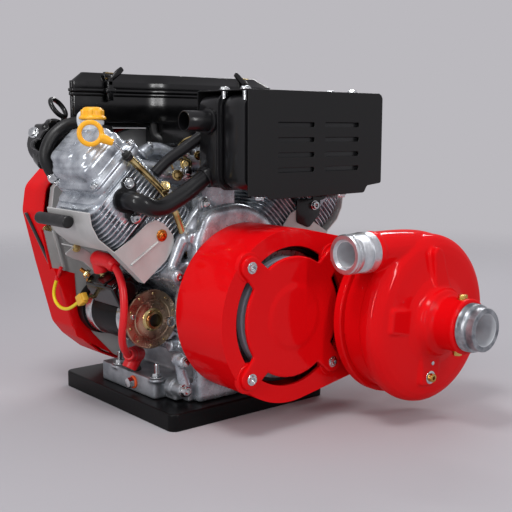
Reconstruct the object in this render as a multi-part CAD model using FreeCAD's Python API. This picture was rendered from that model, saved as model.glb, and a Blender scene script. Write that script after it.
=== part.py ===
import FreeCAD, Part
import math
import os
from FreeCAD import Vector

# Portable centrifugal fire pump: an air-cooled V-twin engine on a flat base drives
# an end-suction pump through a red belt housing.
# Millimetres. Origin: centre of the base's underside. +X runs along the crankshaft to the
# pump, +Y to the side where the pump hangs, +Z up.

# Base plate
base_length = 304.8
base_width = 286.0
base_height = 25.0
base_corner = 12.0
base_edge = 3.0

# Engine block
crank_height = 158.0
sump_rear = -80.0
sump_front = 112.0
sump_half_width = 70.0
sump_top = 86.0
foot_rear = -72.0
foot_front = 76.5
foot_half_width = 121.8
foot_height = 29.0
foot_corner = 5.0
block_half_width = 72.0
block_shoulder = 168.0
deck_distance = 112.0
deck_half_width = 50.0
valley_height = 246.0
cover_face = 131.5
cover_radius = 118.0
cover_top = 292.0
cover_top_half_width = 62.0
stud_radius = 4.0
stud_height = 22.0
stud_nut_radius = 7.2
stud_washer_radius = 10.5
stud_x = (-31.4, 70.0)
stud_y = 113.0
plug_hex_radius = 8.0
plug_length = 12.0
side_plug_x = 22.0
side_plug_z = 40.0
drain_boss_x = 104.0
drain_boss_y = 90.0
drain_boss_size = 26.0

# Cylinder banks, 90 degrees apart
bank_front = 98.0
bank_rear = -14.0
bank_angle = 45.0
barrel_radius = 43.0
barrel_fin_half = 54.0
fin_reach = ((100, 54), (176, 56), (204, 74), (233, 77), (253, 71), (268, 60), (279, 36))
head_start = 200.0
head_end = 277.0
head_half_width = 50.0
fin_thickness = 2.6
fin_pitch = 9.0
rocker_shift = 10.0
rocker_half_width = 46.0
rocker_flange = 7.0
rocker_height = 47.0
rocker_inset = 12.0
rocker_chamfer = 15.0

sheet_gap = 0.3
guide_sheet = 1.6
guide_gap = 0.6
guide_foot = 138.0
guide_heights = (176, 204, 233, 253, 267)
guide_face = ((-46, 196), (-13, 191), (-1, 185), (5, 170), (3, 148), (-6, 136), (-30, 132))
guide_corner = 5.0
guide_lip = 14.0
boot_plug_radius = 8.5
boot_plug_rear = -30.0
boot_plug_length = 85.0
fuel_pump_rear = -82.0
fuel_pump_front = -40.0
fuel_pump_radius = 29.0
fuel_pump_out = 306.0
fuel_pump_across = 20.0
eye_centre = (-60.0, -191.0, 441.0)
eye_facing = (0.681, 0.455, 0.569)
eye_radius = 15.0
eye_bar = 3.5
eye_leg = 42.0
eye_foot_y = -182.0
filler_x = 40.0
filler_y = -192.0
filler_foot = 392.0
filler_seat = 424.0
filler_radius = 12.0
filler_cap_radius = 18.5
filler_cap_height = 17.0
breather_radius = 9.0
dipstick_tube_radius = 5.0
dipstick_x = 107.0
ring_handle_radius = 17.5
ring_handle_bore = 11.0
ring_handle_depth = 6.5

# Flywheel end
blower_rear = -160.0
blower_front = -92.0
blower_wall = 3.0
blower_corner = 26.0
screen_radius = 98.0
screen_depth = 12.0
crank_radius = 15.0

# Starter on the near side
starter_y = -118.0
starter_z = 141.5
starter_radius = 38.0
starter_front = 62.0
starter_length = 130.0
starter_plate_radius = 43.0
starter_plate_thickness = 5.0
starter_hub_radius = 13.0
starter_hub_length = 9.0
solenoid_radius = 20.0
solenoid_length = 70.0
solenoid_rear = -25.0
solenoid_y = -160.0
solenoid_z = 186.0
terminal_x = 3.0
terminal_radius = 4.0
terminal_length = 4.0
boot_radius = 10.5
boot_height = 20.0
boot_arm_radius = 8.5
post_x = 8.0
post_radius = 11.0
post_height = 6.0
cable_radius = 5.5
cable_route = [(32, -161, 222), (48, -163, 216), (62, -165, 203), (71, -167, 186), (74, -168, 166),
               (71, -168, 146), (63, -166, 126), (54, -160, 108), (44, -149, 95), (33, -136, 84)]
wire_radius = 2.5
wire_route = [(-84, -188, 188), (-94, -189, 172), (-91, -190, 155), (-72, -191, 146), (-48, -191, 147),
              (-27, -191, 156), (-14, -190, 164)]

# Air cleaner and carburettor
carburettor_bottom = 348.0
carburettor_top = 386.0
filter_front = -30.0
filter_rear = -165.0
filter_left = -185.0
filter_right = 192.0
filter_bottom = 420.0
filter_lip = 464.0
filter_top = 493.0
filter_taper = 84.0
lip_width = 4.0
lip_height = 5.0
lid_bevel_width = 28.0
lid_bevel_height = 14.0

# Muffler and its guard
muffler_left = -67.0
muffler_right = 176.0
muffler_rear = 110.0
muffler_front = 213.0
muffler_bottom = 331.0
muffler_top = 458.0
muffler_round = 22.0
guard_face = 217.0
guard_sheet = 1.6
guard_left = -63.0
guard_right = 193.0
guard_bottom = 324.0
guard_top = 464.0
guard_return = 112.0
flange_width = 90.0
flange_drop = 44.0
guard_screw_radius = 7.0
louvre_length = 62.0
louvre_height = 6.0
louvre_rows = 4
outlet_x = 137.0
outlet_z = 422.5
outlet_radius = 14.0
outlet_wall = 1.6
outlet_length = 42.0
outlet_ring = 5.0
outlet_depth = 30.0
exhaust_radius = 12.5
port_height = 240.0
port_side = -14.0

# Belt housing
housing_rear = 131.8
housing_front = 234.0
housing_radius = 121.0
arm_y = 181.0
arm_z = 154.0
arm_radius = 87.0
housing_wall = 5.0
housing_opening = 97.0
cover_plate_radius = 84.0
cover_plate_thickness = 5.0
cover_bolt_offset = 75.0
cover_lobe_radius = 15.0
cover_bolt_radius = 6.5
cover_bolt_height = 5.0

# Belt drive inside the housing
pulley_radius = 90.0
pulley_rear = 176.0
pulley_width = 40.0
pulley_rim = 9.0
pulley_web = 6.0
small_pulley_radius = 44.0
belt_thickness = 5.0
belt_width = 34.0
pump_shaft_radius = 12.0

# Pump
pump_y = 181.0
pump_z = 145.5
neck_radius = 64.0
neck_rib_radius = 92.0
neck_length = 18.0
back_plate_rear = housing_front + neck_length
back_plate_thickness = 14.0
back_plate_front = back_plate_rear + back_plate_thickness
back_plate_radius = 118.5
casing_radius = 112.0
casing_depth = 31.0
casing_shoulder = back_plate_front + casing_depth
volute_radius = 119.0
volute_depth = 39.0
volute_front = casing_shoulder + volute_depth
pump_wall = 7.0
hub_radius = 48.0
tube_start = volute_front + 14.0
tube_length = 47.0
tube_end = tube_start + tube_length
tube_radius = 37.0
suction_reach = 26.0
suction_end = tube_end + suction_reach
suction_body_radius = 33.7
suction_thread_radius = 30.15
suction_bore = 22.9
suction_thread_length = 13.0
discharge_x = casing_shoulder + 6.0
discharge_z = 248.0
discharge_y = 30.0
discharge_thread_radius = 25.25
discharge_thread_length = 25.0
discharge_collar_radius = 27.5
discharge_collar_end = 75.0
discharge_bore = 18.0
tube_plug_x = tube_end - 14.0
plug_radius = 6.5
drain_y = 172.0
drain_z = 64.0
outlet_pipe_radius = 27.0
outlet_pipe_throat = 20.0

seat_gap = 0.2

X_AXIS = Vector(1, 0, 0)
Y_AXIS = Vector(0, 1, 0)
Z_AXIS = Vector(0, 0, 1)


def box(x0, x1, y0, y1, z0, z1):
    return Part.makeBox(x1 - x0, y1 - y0, z1 - z0, Vector(x0, y0, z0))


def rod(start, direction, radius, length):
    return Part.makeCylinder(radius, length, Vector(*start), direction)


def hex_rod(start, direction, radius, length):
    """A hexagonal prism whose corners lie at the radius."""
    points = [Vector(radius * math.cos(math.radians(60 * i)), radius * math.sin(math.radians(60 * i)), 0)
              for i in range(7)]
    prism = Part.Face(Part.makePolygon(points)).extrude(Vector(0, 0, length))
    prism.Placement = FreeCAD.Placement(Vector(*start), FreeCAD.Rotation(Z_AXIS, direction))
    return prism


def slab_x(points, x0, x1):
    """A polygon given as (y, z) points, extruded along X."""
    ring = [Vector(x0, y, z) for y, z in points]
    return Part.Face(Part.makePolygon(ring + ring[:1])).extrude(Vector(x1 - x0, 0, 0))


def slab_z(points, z0, z1):
    """A polygon given as (x, y) points, extruded upwards."""
    ring = [Vector(x, y, z0) for x, y in points]
    return Part.Face(Part.makePolygon(ring + ring[:1])).extrude(Vector(0, 0, z1 - z0))


def frustum(x0, x1, y0, y1, z0, z1, inset):
    """A block whose top is smaller than its foot by the inset on each side."""
    def ring(grow, z):
        corners = [(x0 - grow, y0 - grow), (x1 + grow, y0 - grow), (x1 + grow, y1 + grow), (x0 - grow, y1 + grow)]
        return Part.makePolygon([Vector(x, y, z) for x, y in corners + corners[:1]])
    return Part.makeLoft([ring(0, z0), ring(-inset, z1)], True, True)


def mirror_y(shape):
    return shape.mirror(Vector(0, 0, 0), Y_AXIS)


def round_edges(shape, radius, choose):
    """Fillet the edges that the test picks."""
    edges = [edge for edge in shape.Edges if choose(edge)]
    return shape.makeFillet(radius, edges) if edges else shape


def along(edge, axis):
    """True for a straight edge that runs along the axis."""
    if len(edge.Vertexes) < 2:
        return False
    step = edge.Vertexes[-1].Point.sub(edge.Vertexes[0].Point)
    return step.Length > 0.01 and abs(abs(step.dot(axis)) / step.Length - 1) < 1e-6


def rounded_path(points, shares):
    """Straight runs joined by tangent arcs, as one wire."""
    corners = [Vector(*p) for p in points]
    edges = []
    last = corners[0]
    for i in range(1, len(corners) - 1):
        before = corners[i - 1].sub(corners[i])
        after = corners[i + 1].sub(corners[i])
        reach = shares * min(before.Length, after.Length)
        before.normalize()
        after.normalize()
        start = corners[i] + before * reach
        end = corners[i] + after * reach
        half_turn = (math.pi - before.getAngle(after)) / 2
        radius = reach / math.tan(half_turn)
        bisector = before + after
        bisector.normalize()
        centre = corners[i] + bisector * (radius / math.cos(half_turn))
        middle = centre - bisector * radius
        if last.distanceToPoint(start) > 1e-6:
            edges.append(Part.LineSegment(last, start).toShape())
        edges.append(Part.Arc(start, middle, end).toShape())
        last = end
    edges.append(Part.LineSegment(last, corners[-1]).toShape())
    return Part.Wire(edges)


def tube_along(points, radius, shares=0.45):
    """A round solid bar along a rounded path."""
    path = rounded_path(points, shares)
    first = Vector(*points[0])
    direction = Vector(*points[1]).sub(first)
    ring = Part.Wire([Part.Circle(first, direction, radius).toShape()])
    return path.makePipeShell([ring], True, False)


def hull_of_circles(x0, x1, radius, arm, shrink):
    """Two circles and their outer tangents as one closed profile, extruded along X."""
    big = radius - shrink
    small = arm - shrink
    dy = arm_y
    dz = arm_z - crank_height
    reach = math.hypot(dy, dz)
    lean = math.acos((big - small) / reach)
    heading = math.atan2(dz, dy)

    def rim(cy, cz, r, angle):
        return Vector(x0, cy + r * math.cos(angle), cz + r * math.sin(angle))

    up_big = rim(0, crank_height, big, heading + lean)
    low_big = rim(0, crank_height, big, heading - lean)
    far_big = rim(0, crank_height, big, heading + math.pi)
    up_small = rim(arm_y, arm_z, small, heading + lean)
    low_small = rim(arm_y, arm_z, small, heading - lean)
    far_small = rim(arm_y, arm_z, small, heading)
    wire = Part.Wire([Part.Arc(up_big, far_big, low_big).toShape(),
                      Part.LineSegment(low_big, low_small).toShape(),
                      Part.Arc(low_small, far_small, up_small).toShape(),
                      Part.LineSegment(up_small, up_big).toShape()])
    return Part.Face(wire).extrude(Vector(x1 - x0, 0, 0))


def to_bank(shape, side):
    """Turn a shape built with its axis along +Z above the crank into a bank's place."""
    turned = shape.copy()
    turned.rotate(Vector(0, 0, crank_height), X_AXIS, bank_angle)
    return turned if side < 0 else mirror_y(turned)


# Base and block

def base_plate():
    slab = box(-base_length / 2, base_length / 2, -base_width / 2, base_width / 2, 0, base_height)
    slab = round_edges(slab, base_corner, lambda e: along(e, Z_AXIS))
    return round_edges(slab, base_edge, lambda e: e.BoundBox.ZMin > base_height - 0.01)


def engine_sump():
    sump = box(sump_rear, sump_front, -sump_half_width, sump_half_width, base_height, sump_top)
    feet = box(foot_rear, foot_front, -foot_half_width, foot_half_width, base_height, base_height + foot_height)
    feet = round_edges(feet, foot_corner, lambda e: along(e, Z_AXIS))
    boss = box(foot_front, drain_boss_x + drain_boss_size / 2, -drain_boss_y, 0,
               base_height, base_height + drain_boss_size)
    return sump.fuse([feet, boss]).removeSplitter()


def deck_points():
    """Corners of both cylinder decks as (y, z) points, from left to right."""
    turn = math.radians(bank_angle)
    out = (math.sin(turn) * deck_distance, crank_height + math.cos(turn) * deck_distance)
    side = (math.cos(turn) * deck_half_width, math.sin(turn) * deck_half_width)
    low = (-out[0] - side[0], out[1] - side[1])
    high = (-out[0] + side[0], out[1] + side[1])
    return low, high


def crankcase():
    low, high = deck_points()
    left = [(-block_half_width, sump_top), (-block_half_width, block_shoulder), low, high, (-16, valley_height)]
    right = [(-y, z) for y, z in reversed(left)]
    block = slab_x(left + right, sump_rear, sump_front)
    disc = rod((sump_front, 0, crank_height), X_AXIS, cover_radius, cover_face - sump_front)
    skirt = box(sump_front, cover_face, -cover_radius * 0.72, cover_radius * 0.72, base_height, crank_height)
    crown = slab_x([(-cover_top_half_width - 24, crank_height), (-cover_top_half_width - 24, cover_top - 40),
                    (-cover_top_half_width, cover_top), (cover_top_half_width, cover_top),
                    (cover_top_half_width + 24, cover_top - 40), (cover_top_half_width + 24, crank_height)],
                   sump_front, cover_face)
    return block.fuse([disc, skirt, crown]).cut(engine_sump()).removeSplitter()


def foot_studs():
    top = base_height + foot_height
    studs = []
    for x in stud_x:
        for y in (-stud_y, stud_y):
            washer = rod((x, y, top), Z_AXIS, stud_washer_radius, 2)
            nut = hex_rod((x, y, top + 2), Z_AXIS, stud_nut_radius, 6.5)
            stud = rod((x, y, top), Z_AXIS, stud_radius, stud_height)
            studs.append(washer.fuse([nut, stud]).removeSplitter())
    return Part.Compound(studs)


def drain_plugs():
    side = hex_rod((side_plug_x, -foot_half_width, side_plug_z), Y_AXIS * -1, plug_hex_radius, plug_length)
    ring = rod((side_plug_x, -foot_half_width, side_plug_z), Y_AXIS * -1, plug_hex_radius + 1.5, 3)
    front = hex_rod((drain_boss_x, -drain_boss_y, base_height + 12), Y_AXIS * -1, plug_hex_radius, plug_length)
    seat = rod((drain_boss_x, -drain_boss_y, base_height + 12), Y_AXIS * -1, plug_hex_radius + 1.5, 3)
    return Part.Compound([side.fuse(ring).removeSplitter(), front.fuse(seat).removeSplitter()])


# Cylinder banks

def fin_low(height):
    """The lower edge of a fin, clear of the guide over the fin's thickness."""
    return -min(low_reach(height), low_reach(height + fin_thickness))


def low_reach(height):
    """How far the fins stand out on the lower side, at a distance from the crank."""
    for (near, near_reach), (far, far_reach) in zip(fin_reach, fin_reach[1:]):
        if near <= height <= far:
            return near_reach + (far_reach - near_reach) * (height - near) / (far - near)
    return fin_reach[-1][1]


def cylinder_barrel(side):
    middle = (bank_front + bank_rear) / 2
    barrel = rod((middle, 0, crank_height + deck_distance), Z_AXIS, barrel_radius, head_start - deck_distance)
    fins = []
    height = deck_distance + fin_pitch / 2
    while height + fin_thickness < head_start:
        fin = box(bank_rear, bank_front, fin_low(height), barrel_fin_half,
                  crank_height + height, crank_height + height + fin_thickness)
        fins.append(round_edges(fin, 24, lambda e: along(e, Z_AXIS)))
        height += fin_pitch
    return to_bank(barrel.fuse(fins).removeSplitter(), side)


def cylinder_head(side):
    core = box(bank_rear + 8, bank_front - 8, -head_half_width + 8, head_half_width - 8,
               crank_height + head_start, crank_height + head_end)
    fins = []
    height = head_start + 2
    while height + fin_thickness < head_end - 12:
        fin = box(bank_rear, bank_front, fin_low(height), head_half_width,
                  crank_height + height, crank_height + height + fin_thickness)
        fins.append(round_edges(fin, 10, lambda e: along(e, Z_AXIS)))
        height += fin_pitch
    rim = box(bank_rear, bank_front, rocker_shift - rocker_half_width, rocker_shift + rocker_half_width,
              crank_height + head_end - 8, crank_height + head_end)
    rim = round_edges(rim, 10, lambda e: along(e, Z_AXIS))
    port = box(bank_front - 12, bank_front, -34, 8, crank_height + head_start + 16, crank_height + head_end - 8)
    return to_bank(core.fuse(fins + [rim, port]).removeSplitter(), side)


def valve_cover(side):
    foot = crank_height + head_end
    flange = box(bank_rear, bank_front, rocker_shift - rocker_half_width, rocker_shift + rocker_half_width,
                 foot, foot + rocker_flange)
    flange = round_edges(flange, 10, lambda e: along(e, Z_AXIS))
    low_y = rocker_shift - rocker_half_width + 5
    high_y = rocker_shift + rocker_half_width - 5
    dome = frustum(bank_rear + 5, bank_front - 5, low_y, high_y, foot, foot + rocker_height - rocker_chamfer, 3)
    crown = frustum(bank_rear + 8, bank_front - 8, low_y + 3, high_y - 3,
                    foot + rocker_height - rocker_chamfer, foot + rocker_height, rocker_inset)
    return to_bank(flange.fuse([dome, crown]).removeSplitter(), side)


# Flywheel end

def blower_outline():
    """Outline of the red fan housing as (y, z) points."""
    left = [(-60, 35), (-111, 59), (-143, 86), (-160, 108), (-186, 207), (-205, 287), (-199, 325),
            (-169, 355), (-120, 392), (-60, 412)]
    return left + [(-y, z) for y, z in reversed(left)]


def blower_housing():
    outline = blower_outline()
    outer = slab_x(outline, blower_rear, blower_front)
    outer = round_edges(outer, blower_corner, lambda e: along(e, X_AXIS))
    face = Part.Face(Part.makePolygon([Vector(blower_rear, y, z) for y, z in outline + outline[:1]]))
    inner_wire = face.makeOffset2D(-blower_wall)
    inner = Part.Face(inner_wire.Wires[0]).extrude(Vector(blower_front - blower_rear, 0, 0))
    inner = round_edges(inner, blower_corner - blower_wall, lambda e: along(e, X_AXIS))
    inner.translate(Vector(blower_wall, 0, 0))
    hole = rod((blower_rear - 1, 0, crank_height), X_AXIS, screen_radius, blower_wall + 2)
    return outer.cut([inner, hole])


def blower_screen():
    ring = rod((blower_rear - screen_depth, 0, crank_height), X_AXIS, screen_radius - seat_gap,
               screen_depth + blower_wall)
    bore = rod((blower_rear - screen_depth, 0, crank_height), X_AXIS, screen_radius - 6, screen_depth + blower_wall)
    screen = ring.cut(bore)
    bars = []
    for i in range(12):
        bar = box(blower_rear - screen_depth, blower_rear - screen_depth + 3, -2, 2, 20, screen_radius - 3)
        bar.rotate(Vector(0, 0, 0), X_AXIS, 30 * i)
        bar.translate(Vector(0, 0, crank_height))
        bars.append(bar)
    rings = [rod((blower_rear - screen_depth, 0, crank_height), X_AXIS, r + 3, 3).cut(
        rod((blower_rear - screen_depth, 0, crank_height), X_AXIS, r, 3)) for r in (40, 60, 80)]
    hub = rod((blower_rear - screen_depth, 0, crank_height), X_AXIS, 24, 5)
    return screen.fuse(bars + rings + [hub]).removeSplitter()


def flywheel():
    disc = rod((blower_front - 24, 0, crank_height), X_AXIS, 88, 20)
    shaft = rod((blower_rear - screen_depth, 0, crank_height), X_AXIS, crank_radius,
                sump_rear - blower_rear + screen_depth)
    return disc.fuse([shaft, blower_screen()]).removeSplitter()


def fan_backplate():
    """The aluminium plate between the block and the fan housing."""
    outline = [(y * 0.96, z if z > 60 else z + 4) for y, z in blower_outline()]
    plate = slab_x(outline, blower_front + seat_gap, sump_rear)
    hole = rod((blower_front - 1, 0, crank_height), X_AXIS, crank_radius + 6, sump_rear - blower_front + 2)
    return plate.cut(hole)


# Starter

def starter_motor():
    rear = starter_front - starter_length
    body = rod((rear, starter_y, starter_z), X_AXIS, starter_radius, starter_length)
    nose = rod((sump_rear + seat_gap, starter_y, starter_z), X_AXIS, starter_plate_radius,
               rear - sump_rear - seat_gap)
    return body.fuse(nose).removeSplitter()


def starter_end_plate():
    plate = rod((starter_front, starter_y, starter_z), X_AXIS, starter_plate_radius, starter_plate_thickness)
    hub = rod((starter_front, starter_y, starter_z), X_AXIS, starter_hub_radius,
              starter_plate_thickness + starter_hub_length)
    bore = rod((starter_front + 2, starter_y, starter_z), X_AXIS, starter_hub_radius - 3, 40)
    return plate.fuse(hub).cut(bore).removeSplitter()


def starter_solenoid():
    drum = rod((solenoid_rear, solenoid_y, solenoid_z), X_AXIS, solenoid_radius, solenoid_length)
    saddle = box(solenoid_rear + 8, solenoid_rear + solenoid_length - 8, solenoid_y, starter_y,
                 starter_z, solenoid_z)
    return drum.fuse(saddle).cut(starter_motor()).removeSplitter()


# Air cleaner and muffler

def filter_plan(grow):
    """Plan of the air cleaner as (x, y) points, tapered to the rear."""
    front = filter_front + grow
    rear = filter_rear - grow
    return [(front, filter_left - grow), (front, filter_right + grow),
            (rear, filter_right - filter_taper + grow), (rear, filter_left + filter_taper - grow)]


def air_cleaner_base():
    body = slab_z(filter_plan(0), filter_bottom, filter_lip)
    body = round_edges(body, 6, lambda e: along(e, Z_AXIS))
    duct = box(-76, 64, -34, 34, carburettor_top + seat_gap, filter_bottom + 12)
    return body.fuse(duct).removeSplitter()


def air_cleaner_lid():
    lip = slab_z(filter_plan(lip_width), filter_lip, filter_lip + lip_height)
    lid = slab_z(filter_plan(0), filter_lip, filter_top)
    left_cut = slab_x([(filter_left - 1, filter_top - lid_bevel_height), (filter_left - 1, filter_top + 1),
                       (filter_left + lid_bevel_width, filter_top + 1),
                       (filter_left + lid_bevel_width, filter_top),
                       (filter_left, filter_top - lid_bevel_height)], filter_rear - 1, filter_front + 1)
    right_cut = left_cut.mirror(Vector(0, (filter_left + filter_right) / 2, 0), Y_AXIS)
    return lip.fuse(lid).cut([left_cut, right_cut]).removeSplitter()


def muffler_body():
    body = box(muffler_rear, muffler_front, muffler_left, muffler_right, muffler_bottom, muffler_top)
    body = round_edges(body, muffler_round, lambda e: along(e, Y_AXIS))
    stub = rod((outlet_x, muffler_left - outlet_length, outlet_z), Y_AXIS, outlet_radius, outlet_length + 1)
    ring = rod((outlet_x, muffler_left - outlet_ring, outlet_z), Y_AXIS, outlet_radius + 4, outlet_ring + 1)
    bore = rod((outlet_x, muffler_left - outlet_length - 1, outlet_z), Y_AXIS, outlet_radius - outlet_wall,
               outlet_length + outlet_depth)
    return body.fuse([stub, ring]).cut(bore).removeSplitter()


def muffler_guard():
    face = slab_x([(guard_left, guard_bottom), (guard_left, guard_top), (guard_right, guard_top),
                   (guard_right, guard_bottom + 9), (guard_right - 30, guard_bottom + 6),
                   (guard_right - 36, guard_bottom - 4), (guard_left + 36, guard_bottom - 6),
                   (guard_left + 34, guard_bottom)], guard_face - guard_sheet, guard_face)
    slots = []
    pitch = (guard_top - guard_bottom) / (louvre_rows + 2.5)
    for row in range(louvre_rows):
        for y in (guard_left + 55, guard_left + 55 + louvre_length + 26):
            z = guard_bottom + 34 + row * pitch
            slots.append(box(guard_face - 5, guard_face + 1, y, y + louvre_length, z, z + louvre_height))
    rear = guard_face - guard_return
    top = box(rear, guard_face, guard_left, guard_right, guard_top - guard_sheet, guard_top)
    flange = box(rear, rear + guard_sheet, guard_left, guard_left + flange_width, guard_top - flange_drop, guard_top)
    return face.cut(slots).fuse([top, flange]).removeSplitter()


def muffler_mounts():
    """Spacers and screws that hold the guard over the muffler."""
    posts = []
    muffler = muffler_body()
    for x in (guard_face - 57, guard_face - 12):
        for y in (guard_left + 5, guard_right - 52):
            foot = muffler_top - muffler_round / 2
            post = rod((x, y, foot), Z_AXIS, 5, guard_top - guard_sheet - foot).cut(muffler)
            head = hex_rod((x, y, guard_top), Z_AXIS, guard_screw_radius, 5)
            posts += [post, head]
    return Part.Compound(posts)


# Small parts on the engine

def bank_point(x, out, side):
    """A point given by its distance out from the crank and across the left bank."""
    turn = math.radians(bank_angle)
    return (x, -out * math.sin(turn) + side * math.cos(turn),
            crank_height + out * math.cos(turn) + side * math.sin(turn))


def air_guide(side):
    """One bent sheet: a rounded face before the barrel and a wrap round the fins' lower side."""
    gap = guide_gap
    steps = [(height, low_reach(height) + gap) for height in guide_heights]
    wrap = slab_x([(-reach, crank_height + height) for height, reach in steps]
                  + [(-reach - guide_sheet, crank_height + height) for height, reach in reversed(steps)],
                  bank_rear - 6, bank_front + sheet_gap)
    depth = low_reach(guide_heights[1]) + gap
    pan_side = box(bank_front - guide_lip, bank_front + sheet_gap, -depth - guide_sheet, -depth,
                   crank_height + guide_foot, crank_height + guide_heights[1])
    face = slab_x([(w, crank_height + u) for w, u in guide_face] +
                  [(-depth - guide_sheet, crank_height + guide_foot),
                   (-depth - guide_sheet, crank_height + guide_heights[1])],
                  bank_front + sheet_gap, bank_front + sheet_gap + guide_sheet)
    face = round_edges(face, guide_corner, lambda e: along(e, X_AXIS) and e.Vertexes[0].Point.y > 1 - depth)
    return to_bank(wrap.fuse([pan_side, face]).removeSplitter(), side)


def plug_boots():
    """Boots that lie on the guides' outer side, over the plugs."""
    (near, near_reach), (far, far_reach) = fin_reach[-3], fin_reach[-2]
    slope = math.atan2(near_reach - far_reach, far - near)
    lift = guide_gap + guide_sheet / math.cos(slope) + boot_plug_radius / math.cos(slope) + sheet_gap
    seat = near + (far - near) * 0.6
    across = -low_reach(seat) - lift
    boots = []
    for side in (-1, 1):
        boot = rod((boot_plug_rear, across, crank_height + seat), X_AXIS, boot_plug_radius, boot_plug_length)
        boots.append(to_bank(boot, side))
    return Part.Compound(boots)


def fuel_pump():
    middle = bank_point(0, fuel_pump_out, fuel_pump_across)
    drum = rod((fuel_pump_rear, middle[1], middle[2]), X_AXIS, fuel_pump_radius, fuel_pump_front - fuel_pump_rear)
    neck_at = bank_point(0, 290, 2)
    neck = rod((fuel_pump_rear, neck_at[1], neck_at[2]), X_AXIS, 7, bank_rear - sheet_gap - fuel_pump_rear)
    lugs = []
    for out, across in ((332, 35), (292, -9), (328, -1)):
        y, z = bank_point(0, out, across)[1:]
        lugs.append(rod((fuel_pump_front - 12, y, z), X_AXIS, 8, 12))
    return drum.fuse([neck] + lugs).removeSplitter()


def lifting_eye():
    """A leaning ring on a short leg that stands on the fuel pump."""
    centre = Vector(*eye_centre)
    ring = Part.makeTorus(eye_radius, eye_bar, centre, Vector(*eye_facing))
    foot = rod((eye_centre[0], eye_foot_y, eye_centre[2] - eye_leg), Z_AXIS, eye_bar + 1, eye_leg - eye_radius + 4)
    return ring.fuse(foot).cut(fuel_pump()).removeSplitter()


def oil_filler_neck():
    neck = rod((filler_x, filler_y, filler_foot), Z_AXIS, filler_radius, filler_seat - filler_foot)
    return neck.cut([valve_cover(-1), cylinder_head(-1)])


def oil_filler_cap():
    brim = rod((filler_x, filler_y, filler_seat), Z_AXIS, filler_cap_radius, 4)
    crown = rod((filler_x, filler_y, filler_seat), Z_AXIS, filler_cap_radius - 4, filler_cap_height)
    return brim.fuse(crown).removeSplitter()


def breather_hose():
    x = bank_rear - 6
    foot = bank_point(x, head_end + rocker_flange, -25)
    hose = tube_along([(x - 18, -122, 407), (x, -148, 410), (x, -176, 422), (x, -203, 416), (x, -226, 398),
                       (x, -236, 372), foot], breather_radius)
    return hose.cut(valve_cover(-1))


def dipstick_tube():
    x = dipstick_x
    bend = [(x, -78, 230), (x, -94, 275), (x, -107, 306), (x, -130, 333), (x, -153, 354), (x, -176, 374)]
    return tube_along(bend, dipstick_tube_radius).cut(crankcase())


def dipstick():
    """Grommet, rod and ring handle."""
    top = Vector(dipstick_x, -176, 374)
    stem_end = Vector(dipstick_x + 3, -202, 394)
    ring_at = stem_end + Vector(-14.2, -25.2, 12)
    heading = stem_end.sub(top)
    start = top + heading * (seat_gap / heading.Length)
    grommet = Part.makeCylinder(8, 9, start, heading)
    wire = Part.makeCylinder(2, heading.Length - seat_gap, start, heading)
    facing = Vector(0.871, -0.491, 0)
    arm_heading = ring_at.sub(stem_end)
    stem = Part.makeCylinder(4, arm_heading.Length - ring_handle_bore - 2, stem_end, arm_heading)
    ring = Part.makeCylinder(ring_handle_radius, ring_handle_depth, ring_at - facing * (ring_handle_depth / 2), facing)
    hole = Part.makeCylinder(ring_handle_bore, ring_handle_depth * 3, ring_at - facing * (ring_handle_depth * 1.5),
                             facing)
    return grommet.fuse([wire, stem, ring]).cut([hole, dipstick_tube()]).removeSplitter()


def cable_terminals():
    top = solenoid_z + solenoid_radius - 0.5
    main = rod((terminal_x, solenoid_y, top), Z_AXIS, terminal_radius, terminal_length)
    side = rod((-4, solenoid_y - 10, 171), Y_AXIS * -1, terminal_radius - 1, 25).cut(wire_plug())
    body = starter_solenoid()
    post = rod((post_x, -stud_y, base_height + foot_height), Z_AXIS, post_radius, post_height)
    return Part.Compound([main.cut(body), side.cut(body), post])


def cable_boots():
    top = solenoid_z + solenoid_radius - 0.5 + terminal_length + seat_gap
    upper = rod((terminal_x, solenoid_y, top), Z_AXIS, boot_radius, boot_height)
    elbow = Vector(terminal_x, solenoid_y, top + boot_height - boot_arm_radius)
    arm_heading = Vector(*cable_route[0]).sub(elbow)
    arm = Part.makeCylinder(boot_arm_radius, arm_heading.Length, elbow, arm_heading)
    upper = upper.fuse(arm).removeSplitter()
    seat = base_height + foot_height + post_height
    lower = rod((post_x, -stud_y, seat), Z_AXIS, boot_radius, boot_height)
    reach = Vector(post_x, -stud_y, seat + boot_height - boot_arm_radius)
    arm_heading = Vector(*cable_route[-1]).sub(reach)
    arm = Part.makeCylinder(boot_arm_radius, arm_heading.Length, reach, arm_heading)
    lower = lower.fuse(arm).removeSplitter()
    cable = battery_cable()
    return Part.Compound([upper.cut(cable), lower.cut(cable)])


def battery_cable():
    return tube_along(cable_route, cable_radius)


def signal_wire():
    return tube_along(wire_route, wire_radius)


def wire_plug():
    last = Vector(*wire_route[-1])
    turn = last.sub(Vector(*wire_route[-2]))
    plug = box(0, 20, -6, 6, -8, 8)
    plug.Placement = FreeCAD.Placement(last, FreeCAD.Rotation(X_AXIS, turn))
    return plug


def wire_ends():
    """The sleeve at the upper end and the plug at the lower end of the wire."""
    first = Vector(*wire_route[0])
    heading = first.sub(Vector(*wire_route[1]))
    sleeve = Part.makeCylinder(3.5, 24, first, heading)
    return Part.Compound([sleeve, wire_plug()])


# Intake and exhaust

def port_point(side):
    x, y, z = bank_point(bank_front, port_height, port_side)
    return (x + sheet_gap, y if side < 0 else -y, z)


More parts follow.
